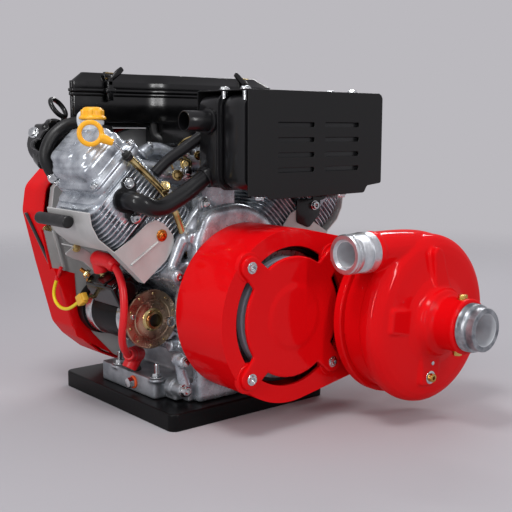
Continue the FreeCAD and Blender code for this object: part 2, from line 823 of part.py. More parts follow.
def exhaust_flange(side):
    start = port_point(side)
    plate = rod(start, X_AXIS, exhaust_radius + 5, 4)
    ears = []
    for y, z in ((5, 22), (14, -25)):
        ears.append(rod((start[0], start[1] + (y if side < 0 else -y), start[2] + z), X_AXIS, 9, 4))
    strap = box(start[0], start[0] + 4, start[1] - 8 + (9 if side < 0 else -9), start[1] + 8 + (9 if side < 0 else -9),
                start[2] - 25, start[2] + 22)
    return plate.fuse(ears + [strap])


def left_exhaust_pipe():
    start = port_point(-1)
    pipe = tube_along([start, (130, start[1], start[2]), (130, -147, 304), (129, -107, 321),
                       (128, muffler_left + 6, 350)], exhaust_radius, 0.47)
    return pipe.fuse(exhaust_flange(-1)).cut(muffler_body()).removeSplitter()


def right_exhaust_pipe():
    start = port_point(1)
    pipe = tube_along([start, (132, start[1], start[2]), (150, 158, 322),
                       (150, 146, muffler_bottom + 6)], exhaust_radius, 0.47)
    return pipe.fuse(exhaust_flange(1)).cut(muffler_body()).removeSplitter()


def muffler_support():
    foot = bank_point(84, 222, head_half_width + seat_gap)
    bar = tube_along([foot, (88, -104, 368), (muffler_rear + 4, -58, 405)], 8)
    return bar.cut([cylinder_head(-1), muffler_body()])


def intake_manifold():
    arms = []
    for side in (-1, 1):
        end = bank_point(45, 238, head_half_width - 6)
        start = Vector(45, 0, 332)
        goal = Vector(end[0], end[1] * -side, end[2])
        arms.append(Part.makeCylinder(15, goal.sub(start).Length, start, goal.sub(start)))
    body = box(20, 70, -30, 30, valley_height + 4, carburettor_bottom)
    return body.fuse(arms).cut([cylinder_head(-1), cylinder_head(1), crankcase()]).removeSplitter()


def carburettor():
    body = box(24, 70, -26, 26, carburettor_bottom, carburettor_top)
    bowl = rod((47, -52, (carburettor_bottom + carburettor_top) / 2 - 1), Y_AXIS, 15, 30)
    return body.fuse(bowl).cut(intake_manifold()).removeSplitter()


def air_cleaner_latches():
    latches = []
    for y in (-122, 130):
        clip = box(filter_front + lip_width + seat_gap, filter_front + lip_width + 8, y - 7, y + 7,
                   filter_lip - 12, filter_top - 6)
        lever = box(-4, 0, -6, 6, 0, 28)
        lever.rotate(Vector(0, 0, 0), X_AXIS, -52 if y < 0 else 52)
        lever.translate(Vector(filter_front + lip_width + 8, y, filter_top - 12))
        latches.append(clip.fuse(lever).removeSplitter())
    return Part.Compound(latches)


def pump_plugs():
    top = pump_z + tube_radius
    low = pump_z - tube_radius
    upper = hex_rod((tube_plug_x, pump_y, top - 1), Z_AXIS, plug_radius, 7)
    lower = hex_rod((tube_plug_x, pump_y, low + 1), Z_AXIS * -1, plug_radius, 7)
    washer = rod((volute_front, drain_y, drain_z), X_AXIS, 10, 3)
    drain = hex_rod((volute_front, drain_y, drain_z), X_AXIS, plug_radius, 9)
    casing = pump_volute()
    return Part.Compound([piece.cut(casing) for piece in (upper, lower, washer.fuse(drain).removeSplitter())])


# Belt housing

def drive_housing():
    outer = hull_of_circles(housing_rear, housing_front, housing_radius, arm_radius, 0)
    inner = hull_of_circles(housing_rear + housing_wall, housing_front - housing_wall, housing_radius,
                            arm_radius, housing_wall)
    opening = rod((housing_front - housing_wall - 1, 0, crank_height), X_AXIS, housing_opening, housing_wall + 2)
    crank_hole = rod((housing_rear - 1, 0, crank_height), X_AXIS, crank_radius + 30, housing_wall + 2)
    shaft_hole = rod((housing_front - housing_wall - 1, pump_y, pump_z), X_AXIS, pump_shaft_radius + 4,
                     housing_wall + 2)
    return outer.cut([inner, opening, crank_hole, shaft_hole])


def drive_cover():
    back = housing_front + seat_gap
    disc = rod((back, 0, crank_height), X_AXIS, cover_plate_radius, cover_plate_thickness)
    lobes = []
    for y in (-cover_bolt_offset, cover_bolt_offset):
        for z in (-cover_bolt_offset, cover_bolt_offset):
            lobes.append(rod((back, y, crank_height + z), X_AXIS, cover_lobe_radius, cover_plate_thickness))
            arm = Part.makeBox(cover_plate_thickness, 2 * cover_lobe_radius, math.hypot(y, z),
                               Vector(back, -cover_lobe_radius, 0))
            arm.rotate(Vector(0, 0, 0), X_AXIS, -math.degrees(math.atan2(y, z)))
            arm.translate(Vector(0, 0, crank_height))
            lobes.append(arm)
    return disc.fuse(lobes).removeSplitter()


def cover_bolts():
    face = housing_front + seat_gap + cover_plate_thickness
    return Part.Compound([hex_rod((face, y, crank_height + z), X_AXIS, cover_bolt_radius, cover_bolt_height)
                          for y in (-cover_bolt_offset, cover_bolt_offset)
                          for z in (-cover_bolt_offset, cover_bolt_offset)])


def ring_x(x0, x1, y, z, outer, inner):
    return rod((x0, y, z), X_AXIS, outer, x1 - x0).cut(rod((x0 - 1, y, z), X_AXIS, inner, x1 - x0 + 2))


def drive_pulley():
    front = pulley_rear + pulley_width
    rim = ring_x(pulley_rear, front, 0, crank_height, pulley_radius, pulley_radius - pulley_rim)
    web = rod((pulley_rear + 12, 0, crank_height), X_AXIS, pulley_radius - 2, pulley_web)
    shaft = rod((cover_face, 0, crank_height), X_AXIS, crank_radius, front - cover_face)
    return rim.fuse([web, shaft]).removeSplitter()


def pump_rotor():
    """The driven pulley, the pump's shaft and the impeller as one turning piece."""
    front = pulley_rear + pulley_width
    pulley = rod((pulley_rear, pump_y, arm_z), X_AXIS, small_pulley_radius, pulley_width)
    shaft = rod((pulley_rear, pump_y, pump_z), X_AXIS, pump_shaft_radius, back_plate_front + 8 - pulley_rear)
    return pulley.fuse([shaft, impeller()]).removeSplitter()


def drive_belt():
    x0 = pulley_rear + 3
    outer = belt_loop(x0, belt_thickness)
    inner = belt_loop(x0, 0)
    return outer.cut(inner)


def belt_loop(x0, grow):
    big = pulley_radius + seat_gap + grow
    small = small_pulley_radius + seat_gap + grow
    reach = math.hypot(arm_y, arm_z - crank_height)
    lean = math.acos((big - small) / reach)
    heading = math.atan2(arm_z - crank_height, arm_y)

    def rim(cy, cz, r, angle):
        return Vector(x0, cy + r * math.cos(angle), cz + r * math.sin(angle))

    points = [rim(0, crank_height, big, heading + lean), rim(0, crank_height, big, heading + math.pi),
              rim(0, crank_height, big, heading - lean), rim(arm_y, arm_z, small, heading - lean),
              rim(arm_y, arm_z, small, heading), rim(arm_y, arm_z, small, heading + lean)]
    wire = Part.Wire([Part.Arc(points[0], points[1], points[2]).toShape(),
                      Part.LineSegment(points[2], points[3]).toShape(),
                      Part.Arc(points[3], points[4], points[5]).toShape(),
                      Part.LineSegment(points[5], points[0]).toShape()])
    return Part.Face(wire).extrude(Vector(belt_width, 0, 0))


# Pump

def pump_bracket():
    neck = ring_x(housing_front, back_plate_rear, pump_y, pump_z, neck_radius, pump_shaft_radius + 4)
    ribs = []
    for i in range(6):
        rib = box(housing_front, back_plate_rear, -4, 4, neck_radius - 4, neck_rib_radius)
        rib.rotate(Vector(0, 0, 0), X_AXIS, 60 * i + 30)
        rib.translate(Vector(0, pump_y, pump_z))
        ribs.append(rib)
    return neck.fuse(ribs + [pump_back_plate()]).removeSplitter()


def pump_back_plate():
    plate = rod((back_plate_rear, pump_y, pump_z), X_AXIS, back_plate_radius, back_plate_front - back_plate_rear)
    bore = rod((back_plate_rear - 1, pump_y, pump_z), X_AXIS, pump_shaft_radius + 4,
               back_plate_front - back_plate_rear + 2)
    return plate.cut(bore)


def turned(profile, y, z):
    """Turn a profile of (x, radius) points about an axis along X."""
    points = [Vector(x, 0, r) for x, r in profile]
    face = Part.Face(Part.makePolygon(points + points[:1]))
    solid = face.revolve(Vector(0, 0, 0), X_AXIS, 360)
    solid.translate(Vector(0, y, z))
    return solid


def pump_volute():
    outer = turned([(back_plate_front, 0), (back_plate_front, casing_radius), (casing_shoulder, casing_radius),
                    (casing_shoulder + 5, volute_radius), (casing_shoulder + 19, volute_radius + 2),
                    (casing_shoulder + 31, volute_radius - 3), (volute_front, volute_radius - 16),
                    (volute_front + 3, hub_radius + 22), (volute_front + 8, hub_radius),
                    (tube_start, tube_radius + 2), (tube_start + 5, tube_radius), (tube_end, tube_radius),
                    (tube_end, 0)], pump_y, pump_z)
    inner = turned([(back_plate_front - 1, 0), (back_plate_front - 1, casing_radius - pump_wall),
                    (casing_shoulder, casing_radius - pump_wall),
                    (casing_shoulder + 8, volute_radius - pump_wall),
                    (casing_shoulder + 28, volute_radius - pump_wall - 6),
                    (volute_front - pump_wall, volute_radius - 30),
                    (volute_front - pump_wall, suction_bore), (tube_end + 1, suction_bore), (tube_end + 1, 0)],
                   pump_y, pump_z)
    pipe = Part.makeCone(outlet_pipe_radius, outlet_pipe_throat, pump_y - discharge_collar_end,
                         Vector(discharge_x, discharge_collar_end, discharge_z), Y_AXIS)
    bore = rod((discharge_x, discharge_collar_end - 1, discharge_z), Y_AXIS, discharge_bore,
               pump_y - discharge_collar_end)
    seat = rod((discharge_x, discharge_y, discharge_z), Y_AXIS, discharge_collar_radius + seat_gap,
               discharge_collar_end - discharge_y)
    return outer.fuse(pipe).cut([inner, bore, seat]).removeSplitter()


def impeller():
    rear = back_plate_front + 2
    disc = rod((rear, pump_y, pump_z), X_AXIS, 92, 5)
    eye = ring_x(rear, volute_front - pump_wall - 2, pump_y, pump_z, 30, 20)
    vanes = []
    for i in range(5):
        vane = box(rear, rear + 22, -2, 2, 25, 90)
        vane.rotate(Vector(0, 0, 0), X_AXIS, 72 * i)
        vane.translate(Vector(0, pump_y, pump_z))
        vanes.append(vane)
    return disc.fuse(vanes + [eye]).removeSplitter()


def suction_nipple():
    body = ring_x(tube_end, suction_end - suction_thread_length, pump_y, pump_z, suction_body_radius, suction_bore)
    thread = ring_x(tube_end, suction_end, pump_y, pump_z, suction_thread_radius, suction_bore)
    return body.fuse(thread).removeSplitter()


def discharge_nipple():
    collar = rod((discharge_x, discharge_y + discharge_thread_length, discharge_z), Y_AXIS,
                 discharge_collar_radius, discharge_collar_end - discharge_y - discharge_thread_length)
    thread = rod((discharge_x, discharge_y, discharge_z), Y_AXIS, discharge_thread_radius,
                 discharge_collar_end - discharge_y)
    bore = rod((discharge_x, discharge_y - 1, discharge_z), Y_AXIS, discharge_bore,
               discharge_collar_end - discharge_y + 2)
    return collar.fuse(thread).cut(bore).removeSplitter()


PARTS = {
    "base_plate": base_plate,
    "engine_sump": engine_sump,
    "crankcase": crankcase,
    "foot_studs": foot_studs,
    "drain_plugs": drain_plugs,
    "left_cylinder": lambda: cylinder_barrel(-1),
    "right_cylinder": lambda: cylinder_barrel(1),
    "left_cylinder_head": lambda: cylinder_head(-1),
    "right_cylinder_head": lambda: cylinder_head(1),
    "left_valve_cover": lambda: valve_cover(-1),
    "right_valve_cover": lambda: valve_cover(1),
    "blower_housing": blower_housing,
    "flywheel": flywheel,
    "fan_backplate": fan_backplate,
    "starter_motor": starter_motor,
    "starter_end_plate": starter_end_plate,
    "starter_solenoid": starter_solenoid,
    "cable_terminals": cable_terminals,
    "cable_boots": cable_boots,
    "battery_cable": battery_cable,
    "signal_wire": signal_wire,
    "wire_ends": wire_ends,
    "left_air_guide": lambda: air_guide(-1),
    "right_air_guide": lambda: air_guide(1),
    "plug_boots": plug_boots,
    "fuel_pump": fuel_pump,
    "lifting_eye": lifting_eye,
    "oil_filler_neck": oil_filler_neck,
    "oil_filler_cap": oil_filler_cap,
    "breather_hose": breather_hose,
    "dipstick_tube": dipstick_tube,
    "dipstick": dipstick,
    "left_exhaust_pipe": left_exhaust_pipe,
    "right_exhaust_pipe": right_exhaust_pipe,
    "muffler_support": muffler_support,
    "intake_manifold": intake_manifold,
    "carburettor": carburettor,
    "air_cleaner_latches": air_cleaner_latches,
    "pump_plugs": pump_plugs,
    "air_cleaner_base": air_cleaner_base,
    "air_cleaner_lid": air_cleaner_lid,
    "muffler_body": muffler_body,
    "muffler_guard": muffler_guard,
    "muffler_mounts": muffler_mounts,
    "drive_housing": drive_housing,
    "drive_cover": drive_cover,
    "cover_bolts": cover_bolts,
    "drive_pulley": drive_pulley,
    "drive_belt": drive_belt,
    "pump_rotor": pump_rotor,
    "pump_bracket": pump_bracket,
    "pump_volute": pump_volute,
    "suction_nipple": suction_nipple,
    "discharge_nipple": discharge_nipple,
}

os.makedirs("parts", exist_ok=True)
for name, make in PARTS.items():
    shape = make()
    solids = shape.Solids
    print(name, len(solids), "solids,", round(shape.Volume / 1000, 1), "cm3", shape.isValid())
    shape.exportStep("parts/" + name + ".step")
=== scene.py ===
import math

import bmesh
import bpy
from mathutils import Matrix, Vector


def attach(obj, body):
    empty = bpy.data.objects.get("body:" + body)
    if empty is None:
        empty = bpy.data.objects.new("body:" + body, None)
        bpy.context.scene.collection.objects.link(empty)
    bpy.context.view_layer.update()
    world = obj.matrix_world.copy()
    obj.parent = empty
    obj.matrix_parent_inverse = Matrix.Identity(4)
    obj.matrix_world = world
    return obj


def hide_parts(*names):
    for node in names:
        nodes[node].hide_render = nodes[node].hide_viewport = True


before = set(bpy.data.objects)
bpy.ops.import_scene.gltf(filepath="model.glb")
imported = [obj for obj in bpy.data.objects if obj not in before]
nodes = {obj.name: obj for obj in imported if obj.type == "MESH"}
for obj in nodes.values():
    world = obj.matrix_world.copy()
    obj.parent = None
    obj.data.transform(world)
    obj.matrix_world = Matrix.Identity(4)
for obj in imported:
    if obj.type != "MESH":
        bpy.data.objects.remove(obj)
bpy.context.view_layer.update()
mm = 0.001
toX, toY, toZ = (1, 0, 0), (0, 1, 0), (0, 0, 1)
# height of the crankshaft, in mm
crankHeight = 158.0
scene = bpy.context.scene
print("stage: frame loaded,", len(nodes), "nodes")

# where the camera stood when the photograph was taken, in mm and degrees
photoView = {
    "azimuth": 50.22,
    "dip": 8.16,
    "roll": 0.19,
    "place": (1132.8, -811.9, 414.8),
    "lens": 63.25,
}


def makeCamera():
    turn, dip, roll = (math.radians(photoView[k]) for k in ("azimuth", "dip", "roll"))
    ahead = Vector((-math.sin(turn) * math.cos(dip), math.cos(turn) * math.cos(dip), -math.sin(dip)))
    level = Vector((math.cos(turn), math.sin(turn), 0))
    up = level.cross(ahead)
    right = level * math.cos(roll) + up * math.sin(roll)
    top = up * math.cos(roll) - level * math.sin(roll)
    data = bpy.data.cameras.new("camera")
    data.lens = photoView["lens"]
    data.clip_start = 0.05
    camera = bpy.data.objects.new("camera", data)
    scene.collection.objects.link(camera)
    turned = Matrix((right, top, -ahead)).transposed().to_4x4()
    camera.matrix_world = Matrix.Translation(Vector(photoView["place"]) * mm) @ turned
    scene.camera = camera


makeCamera()

# materials


def linear(hexColour):
    # sRGB hex to linear RGBA
    channels = [int(hexColour[i:i + 2], 16) / 255 for i in (1, 3, 5)]
    return [c / 12.92 if c < 0.04045 else ((c + 0.055) / 1.055) ** 2.4 for c in channels] + [1.0]


def addNode(tree, kind, settings=None, inputs=None, links=None):
    # one node with its settings, socket values and incoming links
    node = tree.nodes.new(kind)
    for key, value in (settings or {}).items():
        setattr(node, key, value)
    for key, value in (inputs or {}).items():
        node.inputs[key].default_value = value
    for key, socket in (links or {}).items():
        tree.links.new(socket, node.inputs[key])
    return node


def newMaterial(name, base, inputs):
    # a material with its shader, and the object coordinates that its patterns read
    material = bpy.data.materials.new(name)
    material.use_nodes = True
    tree = material.node_tree
    shader = tree.nodes["Principled BSDF"]
    shader.inputs["Base Color"].default_value = linear(base)
    for key, value in inputs.items():
        shader.inputs[key].default_value = value
    place = addNode(tree, "ShaderNodeTexCoord").outputs["Object"]
    return material, tree, shader, place


def mottled(tree, place, grain, low, high, detail=3.0):
    # noise of one grain size in mm, spread between two values
    noise = addNode(tree, "ShaderNodeTexNoise", None, {"Scale": 1000.0 / grain, "Detail": detail},
                    {"Vector": place})
    return addNode(tree, "ShaderNodeMapRange", None,
                   {"From Min": 0.35, "From Max": 0.65, "To Min": low, "To Max": high},
                   {"Value": noise.outputs["Fac"]}).outputs["Result"]


def bumped(tree, shader, height, distance, strength=1.0):
    # surface relief, its depth in mm
    bump = addNode(tree, "ShaderNodeBump", None, {"Distance": distance * mm, "Strength": strength},
                   {"Height": height})
    tree.links.new(bump.outputs["Normal"], shader.inputs["Normal"])


def twoColours(tree, factor, first, second):
    # a colour between two hex colours
    colours = {6: linear(first), 7: linear(second)}
    return addNode(tree, "ShaderNodeMix", {"data_type": "RGBA"}, colours, {"Factor": factor}).outputs[2]


def castAluminium(name, grain, roughLow, roughHigh, relief, dark, light, metallic=0.8):
    # die-cast or sand-cast aluminium
    material, tree, shader, place = newMaterial(name, light, {"Metallic": metallic})
    patches = mottled(tree, place, grain * 9, 0.0, 1.0, 5.0)
    tree.links.new(twoColours(tree, patches, dark, light), shader.inputs["Base Color"])
    tree.links.new(mottled(tree, place, grain * 5, roughLow, roughHigh), shader.inputs["Roughness"])
    bumped(tree, shader, mottled(tree, place, grain, 0.0, 1.0), relief)
    return material


def paint(name, base, roughness, coat, grain, relief, level=0.5, coatRough=0.05):
    # sprayed enamel, whose faint orange peel breaks up reflections
    material, tree, shader, place = newMaterial(name, base, {
        "Roughness": roughness, "Coat Weight": coat, "Coat Roughness": coatRough,
        "Specular IOR Level": level})
    bumped(tree, shader, mottled(tree, place, grain, 0.0, 1.0, 1.0), relief)
    return material


def moulded(name, base, roughness, grain, relief, inputs=None):
    # moulded plastic or rubber
    material, tree, shader, place = newMaterial(name, base, {"Roughness": roughness, **(inputs or {})})
    tree.links.new(mottled(tree, place, grain * 8, roughness * 0.85, roughness * 1.15),
                   shader.inputs["Roughness"])
    bumped(tree, shader, mottled(tree, place, grain, 0.0, 1.0), relief)
    return material


def plated(name, dark, light, roughLow, roughHigh, grain=2.0, relief=0.02):
    # zinc or chromate plated steel, its tint drifting over the surface
    material, tree, shader, place = newMaterial(name, light, {"Metallic": 1.0})
    drift = mottled(tree, place, grain * 4, 0.0, 1.0, 2.0)
    tree.links.new(twoColours(tree, drift, dark, light), shader.inputs["Base Color"])
    tree.links.new(mottled(tree, place, grain, roughLow, roughHigh), shader.inputs["Roughness"])
    bumped(tree, shader, mottled(tree, place, grain * 0.5, 0.0, 1.0), relief)
    return material


def turnedMetal(name, dark, light, axis, pitch, roughness, relief):
    # metal cut on a lathe: fine rings across one axis
    material, tree, shader, place = newMaterial(name, light, {"Metallic": 1.0, "Roughness": roughness})
    rings = addNode(tree, "ShaderNodeTexWave", {"bands_direction": axis, "wave_profile": "SIN"},
                    {"Scale": 1000.0 * math.tau / 20 / pitch, "Distortion": 0.4, "Detail": 1.0},
                    {"Vector": place})
    tree.links.new(twoColours(tree, mottled(tree, place, 12.0, 0.0, 1.0), dark, light),
                   shader.inputs["Base Color"])
    bumped(tree, shader, rings.outputs["Fac"], relief)
    return material


finish = {
    # die-cast aluminium, shot blasted: bright grey, satin, with soft grain
    "castAluminium": castAluminium("dieCastAluminium", 2.2, 0.22, 0.34, 0.03, "#989DA5", "#CCD1D7", 0.66),
    # sand-cast foot: duller, with coarse grain and tumbling marks
    "roughCast": castAluminium("sandCastAluminium", 3.5, 0.36, 0.50, 0.12, "#8E9297", "#BDC0C4"),
    # plain rolled sheet, slightly warm
    "sheetAluminium": castAluminium("rolledAluminiumSheet", 6.0, 0.40, 0.48, 0.003, "#B7B6B4", "#C8C6C4",
                                    0.25),
    # red enamel over castings: deep, glossy, wet look
    "redEnamel": paint("redEnamelOnCasting", "#DC0A10", 0.6, 0.27, 5.0, 0.08, level=0.0, coatRough=0.07),
    # black gloss enamel of the base plate
    "blackGloss": paint("blackEnamelOnSteel", "#050506", 0.45, 0.12, 5.0, 0.03, coatRough=0.12, level=0.12),
    # black heat-proof paint of the muffler, satin
    "blackStove": paint("satinStovePaint", "#0F0F11", 0.42, 0.4, 2.5, 0.01, coatRough=0.16, level=0.2),
    # matt black powder coat of the guard
    "blackPowder": paint("blackPowderCoat", "#0E0E0F", 0.55, 0.05, 1.6, 0.02, coatRough=0.4, level=0.3),
    # black moulded ABS, glossy with flow marks
    "blackAbs": moulded("blackMouldedAbs", "#060607", 0.20, 2.0, 0.006),
    # black nylon, low gloss
    "blackNylon": moulded("blackMouldedNylon", "#0B0B0C", 0.38, 1.2, 0.02),
    # rubber of hose, boots and belt
    "blackRubber": moulded("blackMouldedRubber", "#0C0C0D", 0.45, 2.0, 0.02),
    # soft red vinyl of the cable and its boots
    "redVinyl": moulded("redVinyl", "#E0121C", 0.34, 3.0, 0.02,
                        {"Subsurface Weight": 0.1, "Subsurface Radius": (0.004, 0.001, 0.001)}),
    # yellow nylon of the filler cap and dipstick ring
    "yellowNylon": moulded("yellowMouldedNylon", "#F2AC1C", 0.34, 1.5, 0.01,
                           {"Subsurface Weight": 0.12, "Subsurface Radius": (0.004, 0.002, 0.001)}),
    # paler yellow nylon of the wire's plug
    "yellowPlug": moulded("yellowConnectorNylon", "#EDB53A", 0.4, 1.5, 0.01),
    # PVC of the signal wire
    "yellowWire": moulded("yellowPvc", "#F4D60A", 0.35, 2.0, 0.005),
    # pale plastic of the filler neck
    "paleNylon": moulded("paleMouldedNylon", "#D3D6DA", 0.35, 2.0, 0.01),
    # bright zinc plate of bolts and nuts
    "zinc": plated("brightZincOnSteel", "#B9BDC0", "#E4E6E6", 0.14, 0.24),
    # yellow chromate with a rainbow drift
    "yellowZinc": plated("yellowChromateOnSteel", "#A88752", "#E0CB92", 0.16, 0.26, 4.0),
    # copper-toned screw
    "copperTone": plated("copperTonedChromate", "#A05A22", "#E29A4C", 0.18, 0.30, 3.0),
    # bronze-toned plate of the starter's end
    "bronzePlate": plated("bronzeTonedChromate", "#B08570", "#CDB698", 0.24, 0.32, 9.0, 0.005),
    # pale grey on the belt pulley's rim, lighter than its oiled steel: a painted highlight for the lit rim
    # seen through the housing's slots
    "pulleyRimPaintedHighlight": moulded("pulleyRimPaintedHighlightGrey", "#B4C0CC", 0.35, 2.0, 0.01),
    # bored aluminium inside the nipples, pale and less metallic than the turned outside: a painted reflection
    # of the bright studio in the bores
    "boreAluminiumPaintedReflection": castAluminium("boredAluminiumPaintedReflection", 6.0, 0.30, 0.36, 0.004, "#D9DCE0", "#E6E8EB", 0.35),
    # brass plugs
    "brass": plated("turnedBrass", "#B98C3E", "#DDBA6C", 0.18, 0.28, 4.0),
    # oiled steel of shafts and pulleys
    "darkSteel": plated("oiledSteel", "#5A5A5C", "#8A8B8C", 0.25, 0.40, 4.0),
    # nipples turned along X and Y
    "turnedX": turnedMetal("turnedAluminiumAlongX", "#7E8287", "#B4B7BB", "X", 1.6, 0.34, 0.08),
    "turnedY": turnedMetal("turnedAluminiumAlongY", "#C9CCD0", "#E3E5E8", "Y", 1.3, 0.36, 0.05),
    # orange sealing washer
    "fibre": moulded("orangeFibre", "#E2531B", 0.55, 1.5, 0.02),
}
print("stage: materials made")

# mesh helpers; every size below is in mm until finishMesh scales it


def finishMesh(name, mesh, material, node, replaced=(), bevel=None, smoothAngle=35.0):
    # a bmesh in mm becomes a piece that rides on the body
    bmesh.ops.scale(mesh, vec=(mm, mm, mm), verts=mesh.verts)
    data = bpy.data.meshes.new(name)
    mesh.to_mesh(data)
    mesh.free()
    data.materials.append(finish[material])
    data.shade_smooth()
    data.set_sharp_from_angle(angle=math.radians(smoothAngle))
    piece = bpy.data.objects.new(name, data)
    scene.collection.objects.link(piece)
    if bevel:
        edge = piece.modifiers.new("edges", "BEVEL")
        edge.width = bevel * mm
        edge.segments = 2
        edge.limit_method = "ANGLE"
        edge.angle_limit = math.radians(40)
        edge.use_clamp_overlap = True
        edge.miter_outer = "MITER_ARC"
        flat = piece.modifiers.new("normals", "WEIGHTED_NORMAL")
        flat.keep_sharp = True
    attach(piece, "root")
    if replaced:
        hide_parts(*replaced)


def standIn(name, mesh, material, node, **looks):
    # a piece that is shown in place of its node
    finishMesh(name, mesh, material, node, [node], **looks)


def mergedCopy(node):
    # the node's solid as a clean closed mesh in mm
    mesh = bmesh.new()
    mesh.from_mesh(nodes[node].data)
    bmesh.ops.remove_doubles(mesh, verts=mesh.verts, dist=1e-5)
    bmesh.ops.dissolve_limit(mesh, angle_limit=math.radians(0.5), verts=mesh.verts, edges=mesh.edges,
                             delimit={"NORMAL"})
    bmesh.ops.scale(mesh, vec=(1 / mm, 1 / mm, 1 / mm), verts=mesh.verts)
    return mesh


# nodes whose solids are shown as they are, with softened edges: finish and radius in mm
plainDress = {
    "base_plate": ("blackGloss", 1.2), "blower_housing": ("redEnamel", 1.2),
    "flywheel": ("blackNylon", 0.6), "fan_backplate": ("sheetAluminium", 0.8),
    "left_air_guide": ("sheetAluminium", 0.5), "right_air_guide": ("sheetAluminium", 0.5),
    "plug_boots": ("blackRubber", 2.0), "lifting_eye": ("blackStove", 0.5),
    "breather_hose": ("blackRubber", 0.5), "left_exhaust_pipe": ("blackStove", 0.6),
    "right_exhaust_pipe": ("blackStove", 0.6), "muffler_support": ("blackStove", 0.5),
    "intake_manifold": ("castAluminium", 2.0), "drive_pulley": ("darkSteel", 0.6),
    "drive_belt": ("blackRubber", 0.5), "pump_rotor": ("brass", 0.6), "pump_bracket": ("redEnamel", 2.0),
}

# shape helpers: each gives a small closed shape, in mm


def turnTo(direction):
    # the turn that brings +Z to a direction
    return Vector(direction).normalized().to_track_quat("Z", "Y").to_matrix().to_4x4()


def roundEdges(part, radius, steps=3, chosen=lambda edge: True):
    # bevels the sharp edges that the test picks
    sharp = [e for e in part.edges if len(e.link_faces) == 2 and e.calc_face_angle(0) > 0.5 and chosen(e)]
    bmesh.ops.bevel(part, geom=sharp, offset=radius, segments=steps, affect="EDGES", profile=0.5,
                    material=-1, clamp_overlap=True)
    return part


def rod(start, direction, radius, length, tip=None, sides=40, edge=0.0):
    # a round bar, or a cone where the tip has its own radius
    part = bmesh.new()
    bmesh.ops.create_cone(part, cap_ends=True, segments=sides, radius1=radius,
                          radius2=radius if tip is None else tip, depth=length,
                          matrix=Matrix.Translation((0, 0, length / 2)))
    if edge:
        roundEdges(part, edge, 3, lambda e: abs(e.verts[0].co.z - e.verts[1].co.z) < 0.01)
    bmesh.ops.transform(part, matrix=Matrix.Translation(Vector(start)) @ turnTo(direction), verts=part.verts)
    return part


def ball(place, radius, squash=(1, 1, 1)):
    part = bmesh.new()
    bmesh.ops.create_icosphere(part, subdivisions=3, radius=radius,
                               matrix=Matrix.Translation(Vector(place)) @ Matrix.Diagonal((*squash, 1)))
    return part


def block(low, high, edge=0.0):
    low, high = Vector(low), Vector(high)
    part = bmesh.new()
    bmesh.ops.create_cube(part, size=1, matrix=Matrix.Translation((low + high) / 2)
                          @ Matrix.Diagonal((*(high - low), 1)))
    return roundEdges(part, edge) if edge else part


def rectangle(left, low, right, high):
    # its four corners, for slab
    return [(left, low), (left, high), (right, high), (right, low)]


def slab(outline, start, end, axis="X", corner=0.0, corners=None, edge=0.0):
    # a closed outline, its corners rounded, pushed along one axis
    spot = {"X": lambda a, b, t: (t, a, b),
            "Y": lambda a, b, t: (a, t, b),
            "Z": lambda a, b, t: (a, b, t)}[axis]
    part = bmesh.new()
    ring = [part.verts.new(spot(a, b, start)) for a, b in outline]
    part.faces.new(ring)
    if corner:
        chosen = ring if corners is None else [ring[i] for i in corners]
        bmesh.ops.bevel(part, geom=chosen, offset=corner, segments=6, affect="VERTICES", profile=0.5,
                        material=-1, clamp_overlap=True)
    pushed = bmesh.ops.extrude_face_region(part, geom=part.faces[:])["geom"]
    bmesh.ops.translate(part, verts=[g for g in pushed if isinstance(g, bmesh.types.BMVert)],
                        vec=spot(0, 0, end - start))
    bmesh.ops.recalc_face_normals(part, faces=part.faces)
    if edge:
        along = "XYZ".index(axis)
        roundEdges(part, edge, 2, lambda e: abs(e.verts[0].co[along] - e.verts[1].co[along]) < 0.01)
    return part


def turned(profile, place, direction, steps=96):
    # a profile of (along, radius) points spun about its axis
    part = bmesh.new()
    line = [part.verts.new((radius, 0, along)) for along, radius in profile]
    edges = [part.edges.new(pair) for pair in zip(line, line[1:])]
    bmesh.ops.spin(part, geom=line + edges, cent=(0, 0, 0), axis=toZ, angle=math.tau, steps=steps,
                   use_merge=True)
    bmesh.ops.remove_doubles(part, verts=part.verts, dist=1e-4)
    bmesh.ops.recalc_face_normals(part, faces=part.faces)
    bmesh.ops.transform(part, matrix=Matrix.Translation(Vector(place)) @ turnTo(direction), verts=part.verts)
    return part


def bolt(place, direction, radius, height, washer=0.0, socket=0.0, sides=6):
    # a chamfered head, with its washer and a key socket where it has them
    part = rod((0, 0, 0), toZ, radius, height, sides=sides)
    top = max(part.faces, key=lambda f: f.calc_center_median().z)
    bmesh.ops.bevel(part, geom=list(top.edges), offset=radius * 0.14, segments=2, affect="EDGES",
                    profile=0.5, material=-1)
    if socket:
        top = max(part.faces, key=lambda f: f.calc_center_median().z)
        bmesh.ops.inset_region(part, faces=[top], thickness=radius * 0.86 - socket, use_even_offset=True)
        bmesh.ops.inset_region(part, faces=[top], thickness=0.1, depth=-height * 0.6)
    if washer:
        joinTo(part, rod((0, 0, -0.1), toZ, washer, 1.6, edge=0.4))
    bmesh.ops.transform(part, matrix=Matrix.Translation(Vector(place)) @ turnTo(direction), verts=part.verts)
    return part


def smoothLine(name, points, radius, steps, rounds):
    # a round NURBS line; a point may carry its own radius
    line = bpy.data.curves.new(name, "CURVE")
    line.dimensions = "3D"
    spline = line.splines.new("NURBS")
    spline.points.add(len(points) - 1)
    for spot, place in zip(spline.points, points):
        spot.co = (*place[:3], 1)
        spot.radius = place[3] / radius if len(place) > 3 else 1
    spline.order_u = 3
    spline.use_endpoint_u = True
    spline.resolution_u = steps
    line.bevel_depth = radius
    line.bevel_resolution = rounds
    line.use_fill_caps = True
    return line


